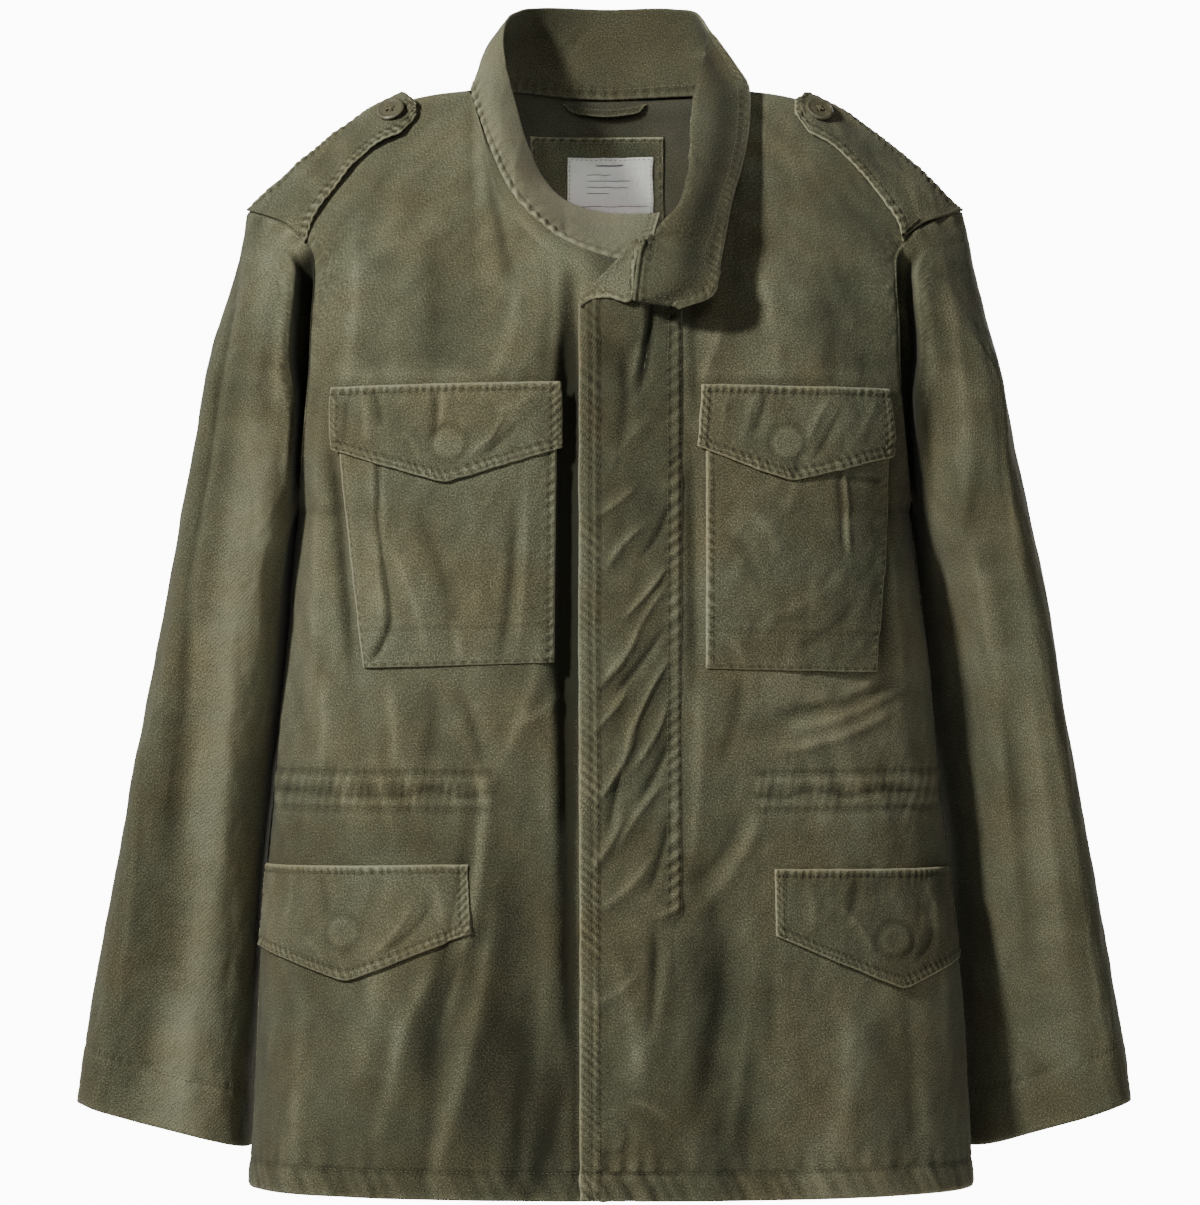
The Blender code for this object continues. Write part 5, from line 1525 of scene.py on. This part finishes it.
# ---------------------------------------------------------------------- pocket flaps
# Four pointed flaps of two layers, turned and stitched twice round their free edges, and sewn
# along the top. A hidden press stud has left its round mark in the cloth of each.

# corners seen from the front, the lowest point, and the middle of the stud's mark
FLAPS = {
    "chest_flap_right": {
        "top": ((-189, -214), (-30.5, -211)), "bottom": ((-186, -257), (-30, -257)),
        "point": (-109, -281), "snap": (-105.7, -253.9),
    },
    "chest_flap_left": {
        "top": ((66, -213), (197, -215)), "bottom": ((63, -256), (194, -261)),
        "point": (125, -280), "snap": (124.0, -253.2),
    },
    "lower_flap_right": {
        "top": ((-237, -546), (-93.5, -543)), "bottom": ((-242, -604), (-92, -590)),
        "point": (-178, -625), "snap": (-179.0, -590.6),
    },
    "lower_flap_left": {
        "top": ((116, -546), (240, -548)), "bottom": ((117, -592), (248, -612)),
        "point": (206, -631), "snap": (199.5, -596.7),
    },
}
FLAP_ROWS = (2.2, 6.8)      # from the free edges to the rows of stitches
FLAP_CREASES = {
    "chest_flap_right": crease_table(
        (-158, -219, -153, -240, 3, -1.1, 1, 0.3),
        (-164, -222, -160, -252, 4, 0.9, 1, 0.3),
        (-116, -218, -117, -250, 3.5, -1.2, 1, 0.3),
        (-110, -218, -112, -240, 4, 0.8, 1, 0),
        (-92, -262, -70, -236, 3.5, 1, 2, 0.3),
        (-84, -262, -60, -240, 3, -0.9, 2, 0.3),
        (-74, -232, -52, -222, 5, 0.8, 2, 0),
        (-176, -224, -178, -254, 3, -0.8, 1, 0),
        (-136, -246, -124, -266, 4, 0.8, 2, 0),
    ),
    "chest_flap_left": crease_table(
        (110, -218, 102, -246, 2.8, -0.9, 1, 0.3),
        (102, -222, 94, -250, 4, 0.7, 0, 0),
        (152, -224, 136, -254, 3.4, 0.8, -1, 0.3),
        (160, -230, 142, -262, 2.6, -0.8, 1, 0),
        (132, -264, 128, -278, 4, -0.9, 0, 0),
        (184, -224, 170, -248, 4, 0.6, 0, 0.2),
        (82, -222, 80, -244, 4, 0.6, 0, 0),
    ),
    "lower_flap_right": crease_table(
        (-216, -552, -220, -586, 5, 0.9, 2, 0),
        (-196, -552, -192, -580, 5, -0.8, 2, 0),
        (-160, -606, -132, -570, 4, 1, 3, 0.3),
        (-150, -602, -120, -572, 3.5, -0.9, 3, 0.3),
        (-118, -556, -112, -584, 5, 0.8, 2, 0),
        (-204, -596, -192, -612, 4, 0.8, 1, 0),
    ),
    "lower_flap_left": crease_table(
        (138, -556, 142, -590, 6, 0.9, 2, 0),
        (172, -552, 166, -584, 5, -0.8, 2, 0),
        (184, -606, 160, -572, 4, 0.9, 3, 0.3),
        (222, -560, 230, -594, 5, 0.8, 2, 0),
        (214, -612, 226, -590, 4, -0.8, 2, 0),
    ),
}


def flap_plan(flap, columns, rows):
    """(x, z) of a flap's grid, from its pointed lower edge up to its straight upper edge, and where
    each point lies across (0 to 1) and up (0 to 1) it."""
    (left_x, left_z), (right_x, right_z) = flap["bottom"]
    point_x, point_z = flap["point"]
    middle = (point_x - left_x) / (right_x - left_x)
    s = np.concatenate([np.linspace(0, middle, columns + 1)[:-1], np.linspace(middle, 1, columns + 1)])
    low = np.interp(s, [0, middle, 1], [left_z, point_z, right_z])
    low = low + 1.2 * (1 - np.minimum(np.abs(s - middle) / 0.05, 1)) ** 2
    lower = np.stack([left_x + (right_x - left_x) * s, low], -1)
    t = np.linspace(0, 1, rows + 1)[:, None]
    plan = lower * (1 - t[..., None]) + between(*flap["top"], s) * t[..., None]
    return plan[..., 0], plan[..., 1], s, t


for name, seed, flat, area in (
    ("chest_flap_right", 401, (0.165, 0.078), 0.0095),
    ("chest_flap_left", 441, (0.145, 0.085), 0.0088),
    ("lower_flap_right", 481, (0.165, 0.078), 0.0095),
    ("lower_flap_left", 521, (0.145, 0.085), 0.0088),
):
    side = name.split("_")[-1]
    x, z, s, t = flap_plan(FLAPS[name], 58, 44)
    share, height = place_on_form(FRONT, x, z)
    face = read_form(FRONT, share, height)
    sewn = dict(left=FLAP_ROWS, right=FLAP_ROWS, low=FLAP_ROWS)
    relief, fade_and_shade = sewn_relief(face, seed, pitch=5.6, depth=0.7, **sewn)
    from_left, _, _, from_top = edge_runs(face)
    top_height, top_fade = sewn_edge(from_top, from_left, seed + 20, (5.0,), 5.5, 0.6, 0.0)
    folds = creases(FLAP_CREASES[name], x, z)
    # painted light and shade: the folds are painted darker in their troughs and a little paler on their
    # crests
    fade_and_shade = fade_and_shade + top_fade + 0.03 * folds + 0.10 * np.minimum(folds, 0)
    relief = relief + top_height + 1.4 * folds + snap_mark(x, z, FLAPS[name]["snap"])
    relief = relief + rumple(x, z, seed + 30, 0.7) * bump(s) * bump(t)
    lift = LAY_GAP + DOUBLE_CLOTH + 1.2 * np.sin(np.pi * s) * (1 - t)
    if name.startswith("chest"):
        lift = lift + (CLOTH + 0.4) * smooth_step((1 - t) / 0.2)
        lift = lift + pocket_lift(side, x, z) * smooth_step((1 - t) / 0.25)
    grid = lay_on(FRONT, share, height, lift + relief)
    flap = add_shell(name, grid, fade_and_shade, DOUBLE_CLOTH)
    near, far = FLAP_ROWS
    flap_stitches = add_stitches(name + "_stitches", [
        beside(grid, "low", near, near, near),
        beside(grid, "low", far, far, far),
        *(beside(grid, edge, *row) for edge in ("left", "right") for row in ((near, near, 0), (far, far, 4))),
        beside(grid, "high", 5.0),
    ])

# ---------------------------------------------------------------------- shoulder straps
# Straps of two layers, caught in the armhole seam and buttoned down near the collar through a
# worked buttonhole. Their double-stitched edges have shrunk, so they ripple.

STRAP_LENGTH, STRAP_TIP = 146.0, 12.0
STRAP_WIDTH = (66.0, 53.0, 41.0, 14.0)  # at the armhole, 30 mm on, before the tip and at its end
STRAP_FORWARD = (39.0, 19.0)            # from the shoulder seam forward to the middle line ...
STRAP_BENT = (0.0, 110.0)               # ... at these lengths from the armhole
STRAP_LIFT = (0.8, 2.7, 3.8)            # off the shoulder at the armhole, further on and at the button
STRAP_ROWS = (2.2, 7.0)
BUTTON_THICKNESS, BUTTON_FROM_TIP = 3.2, 17.0
THREAD_REACH = 3.446                    # half the length of a bow of thread

# Moulded plastic, semi-matt and worn, with a faint swirl about 4 mm wide
moulded = plain_material("olive_grey_moulded_button", "#5B5945", 0.42)
tree = moulded.node_tree
place = add_node(tree, "ShaderNodeTexCoord")
swirl = add_node(
    tree, "ShaderNodeTexNoise", None, {"Scale": 260.0, "Detail": 3.0, "Distortion": 1.5},
    {"Vector": (place, "Object")},
)
tint = add_node(tree, "ShaderNodeValToRGB", None, None, {"Fac": (swirl, "Fac")})
for stop, position, colour in zip(tint.color_ramp.elements, (0.3, 0.7), ("#5B5945", "#77735C")):
    stop.position, stop.color = position, (*linear(colour), 1)
tree.links.new(tint.outputs["Color"], tree.nodes["Principled BSDF"].inputs["Base Color"])


def over_shoulder(side, share, forward):
    """Points of the shoulder at one share of the row, forward millimetres in front of the seam,
    measured over the cloth, and the way forwards there."""
    height = np.linspace(CHEST_Z, CHEST_Z + YOKE_HIGH, 160)
    front, back = (read_form(form, np.full(160, side * share), height) for form in (FRONT, BACK))
    path = np.concatenate([back, front[-2::-1]])
    length = path_length(path) - path_length(back)[-1]
    before, here, ahead = (read_path(path, length, forward + step) for step in (-3, 0, 3))
    return here, ahead - before


def strap_surface(side, along, forward, lift):
    """Points over the shoulder at (along from the armhole, forward of the seam), moved out."""
    reach = path_length(xyz(SHOULDER)[::-1])
    share = 1 - (1 - NECK_SHARE) * along / reach[-1]
    rows = [over_shoulder(side, a, f) for a, f in zip(share, forward)]
    point, ahead = (np.stack([row[k] for row in rows]) for k in (0, 1))
    outward = unit(np.cross(ahead, np.gradient(point, axis=0)) * -side)
    return point + outward * np.asarray(lift)[..., None], outward


def strap_lift(along):
    """How far a strap stands off the shoulder, which rises in two steps from its seam."""
    sewn, middle, buttoned = STRAP_LIFT
    lift = sewn + (middle - sewn) * smooth_step(along / 40)
    return lift + (buttoned - middle) * smooth_step((along - 110) / 26)


def add_tube(name, path, radius, material, sides=8, flat=1.0):
    """A round thread or bar: a circle of one radius carried along a path, with its ends drawn in."""
    run = unit(np.gradient(path, axis=0))
    side = unit(np.cross(run, [0.13, 0.35, 0.93]))
    out = np.cross(side, run)
    angle = 2 * np.pi * np.arange(sides) / sides
    width = radius * np.sqrt(np.clip(1 - np.linspace(-1, 1, len(path)) ** 8, 0.02, 1))
    ring = side[:, None] * np.cos(angle)[:, None] + flat * out[:, None] * np.sin(angle)[:, None]
    index = np.arange(len(path) * sides).reshape(len(path), sides)
    right = np.roll(index, -1, axis=1)
    faces = np.stack([index[:-1], index[1:], right[1:], right[:-1]], -1).reshape(-1, 4).tolist()
    faces += [index[0].tolist(), index[-1, ::-1].tolist()]
    add_mesh(name, path[:, None] + ring * width[:, None, None], faces, material)


for name, side, seed in (("left", 1, 601), ("right", -1, 641)):
    straight = STRAP_LENGTH - STRAP_TIP
    along = np.concatenate([np.linspace(0.6, straight, 100), straight + np.linspace(0, STRAP_TIP, 9)[1:]])
    width = np.interp(along, [0, 30, straight, STRAP_LENGTH], STRAP_WIDTH)
    forward = np.interp(along, STRAP_BENT, STRAP_FORWARD)[:, None]
    forward = forward + width[:, None] * np.linspace(-0.5, 0.5, 38)
    lift = strap_lift(along)[:, None] + DOUBLE_CLOTH
    grid, outward = strap_surface(side, along, forward, lift + 0 * forward)
    if side > 0:
        grid, outward = grid[:, ::-1], outward[:, ::-1]
    from_left, _, from_low, _ = edge_runs(grid)
    sewn = dict(left=STRAP_ROWS, right=STRAP_ROWS, high=STRAP_ROWS)
    relief, fade_and_shade = sewn_relief(grid, seed, pitch=6.4, depth=0.75, **sewn)
    ripple = gather(from_low + 0.4 * from_left, 34.0, seed + 24)
    relief = relief + rumple(from_left * 1.5, from_low * 1.5, seed + 20, 0.7)
    relief = relief + 0.8 * ripple * bell(from_left / from_left[:, -1:].max() - 0.5, 0.6)
    grid = grid + outward * (relief * smooth_step((along[:, None] + 1) / 6))[..., None]
    strap = add_shell("epaulette_" + name, grid, fade_and_shade, DOUBLE_CLOTH)
    strap_stitches = add_stitches("epaulette_%s_stitches" % name, [
        *(beside(grid, edge, row, 1, row) for edge in ("left", "right") for row in STRAP_ROWS),
        beside(grid, "high", STRAP_ROWS[0], 1, 1),
    ])

    # the button keeps its solid; its thread crosses it in two pairs of bows
    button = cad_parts["epaulette_button_" + name]
    button.data.materials.clear()
    button.data.materials.append(moulded)
    middle = np.array([-1.0, 0.0, 1.0]) + STRAP_LENGTH - BUTTON_FROM_TIP
    _, out = strap_surface(side, middle, np.full((3, 1), STRAP_FORWARD[1]), 0.0)
    out = out[1, 0]
    low, high = (np.array(corner) * 1000 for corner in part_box("epaulette_button_" + name))
    seat = (low + high) / 2 + out * (0.5 * BUTTON_THICKNESS - 0.5)
    run = unit(np.cross(out, [0.0, 1.0, 0.0]))
    other = np.cross(out, run)
    bow = np.linspace(-1, 1, 9)[:, None]
    for k, (a, b) in enumerate(((run, other), (other, run))):
        for j, offset in enumerate((-0.45, 0.45)):
            path = seat + THREAD_REACH * bow * a + offset * b + out * (0.75 * (1 - bow**4) - 0.2)
            add_tube("epaulette_button_%s_thread_%d%d" % (name, k, j), path, 0.42, thread)
    hole_along = STRAP_LENGTH - BUTTON_FROM_TIP - np.linspace(14.5, 30, 40)
    hole_lift = strap_lift(hole_along) + DOUBLE_CLOTH + 0.5
    for j, offset in enumerate((-1.5, 1.5)):
        wiggle = 0.5 * np.sin(np.linspace(0, 24 * np.pi, 40) + j)
        hole_forward = np.interp(hole_along, STRAP_BENT, STRAP_FORWARD) + offset + wiggle
        path, _ = strap_surface(side, hole_along, hole_forward[:, None], hole_lift[:, None])
        add_tube("epaulette_%s_buttonhole_%d" % (name, j), path[:, 0], 1.1, thread, flat=0.6)

# ---------------------------------------------------------------------- inside of the neck
# A folded tape loop to hang the jacket by, and a stitched patch of the same cloth that carries a
# white woven label, all on the inside of the back.

LOOP = table(
    "x   z    off",
    (-28, 0, 1.0),
    (-27.5, -2.5, 1.6),
    (-23, -6.5, 3.0),
    (-10, -8.2, 4.4),
    (0, -8.8, 4.8),
    (10, -8.4, 4.4),
    (23, -6.8, 3.0),
    (27.5, -2.5, 1.6),
    (28, 0, 1.0),
)
PATCH = {"x": (-55, 43), "z": (-106, -27)}
LABEL = {"x": (-28, 36), "z": (-90, -41)}
TAPE = 1.0

SEWN_OFF = CLOTH + 2.0      # from the back's outer face to what is sewn inside it
PATCH_ROW = 3.5

t = np.linspace(0, 1, 70)
x, z, off = (through(np.linspace(0, 1, 9), LOOP[name], t) for name in ("x", "z", "off"))
across = np.linspace(-2.4, 2.4, 9)[:, None]
run_x, run_z = unit(np.stack([np.gradient(x), np.gradient(z)], -1)).T
place = place_on_form(BACK, x - across * run_z, z + across * run_x)
loop_grid = lay_on(BACK, *place, -(CLOTH + off + 0.35 * (np.abs(across) / 3) ** 2))
loop_fade = 0.7 * bell(across + 2.4, 0.8) - 0.2
add_shell("hanger_loop", loop_grid, loop_fade, TAPE, inward=False, ending="_tape")

x, z = np.meshgrid(np.linspace(*PATCH["x"], 60), np.linspace(*PATCH["z"], 50))
sewn = dict.fromkeys(("left", "right", "high", "low"), (2.0,))
relief, fade_and_shade = sewn_relief(np.stack([x, 0 * x, z], -1), 701, pitch=7.0, depth=0.4, **sewn)
relief = relief + rumple(x, z, 721, 0.8)
patch_grid = lay_on(BACK, *place_on_form(BACK, x, z), -(SEWN_OFF + TAPE + relief))
patch = add_shell("label_patch", patch_grid, fade_and_shade - 0.25, TAPE)
patch_stitches = add_stitches("label_patch_stitches", [
    beside(patch_grid, edge, PATCH_ROW, 3, 3) for edge in ("left", "right", "high")
])

# Satin of white polyester, smooth and a little shiny. Its threads lie 0.35 and 0.45 mm apart,
# about three times as coarse as real, and only show from near by.
white_satin = plain_material("white_woven_label", "#FAFAF6", 0.6)
tree = white_satin.node_tree
place = add_node(tree, "ShaderNodeTexCoord")
warp, weft = (
    add_node(
        tree, "ShaderNodeTexWave", {"bands_direction": direction},
        {"Scale": scale, "Distortion": 0.6, "Detail": 2.0}, {"Vector": (place, "UV")},
    )
    for direction, scale in (("X", 900.0), ("Y", 700.0))
)
weave = add_node(
    tree, "ShaderNodeMath", {"operation": "MULTIPLY"}, None, {0: (warp, "Fac"), 1: (weft, "Fac")},
)
tint = add_node(tree, "ShaderNodeValToRGB", None, None, {"Fac": (weave, 0)})
for stop, colour in zip(tint.color_ramp.elements, ("#E2E3DC", "#FAFAF6")):
    stop.color = (*linear(colour), 1)
bumps = add_node(tree, "ShaderNodeBump", None, {"Strength": 0.3, "Distance": 0.0003}, {"Height": (weave, 0)})
shader = tree.nodes["Principled BSDF"]
tree.links.new(tint.outputs["Color"], shader.inputs["Base Color"])
tree.links.new(bumps.outputs[0], shader.inputs["Normal"])

# Black polyester yarn, matt, for the label's plain lines
black_yarn = plain_material("black_label_yarn", "#33352F", 0.8)


def on_label(x, z, above=0.0):
    """Points of the label's face at (x, z), as seen from the front."""
    lift = SEWN_OFF + TAPE + 1.3 + above + rumple(x, z, 741, 0.5)
    return lay_on(BACK, *place_on_form(BACK, x, z), -lift)


label_grid = on_label(*np.meshgrid(np.linspace(*LABEL["x"], 50), np.linspace(*LABEL["z"], 40)))
label = add_shell("neck_label", label_grid, 0.0, 0.6, material=white_satin)
label_stitches = add_stitches("neck_label_stitches", [
    beside(label_grid, edge, 1.5, 1.5, 1.5) for edge in ("left", "right", "high", "low")
])
# the lines woven into the label: a height, two ends and a radius
for k, (z, *ends_x, radius) in enumerate((
    (-76.0, -27, 34, 0.30),
    (-46.5, -7, 14, 0.55),
    (-53.0, -14, 6, 0.3),
    (-57.5, -14, 20, 0.3),
    (-62.0, -14, 18, 0.3),
    (-66.5, -14, 4, 0.3),
)):
    path = on_label(np.linspace(*ends_x, 60), np.full(60, z), 0.05)
    add_tube("neck_label_line_%d" % k, path, radius, black_yarn)
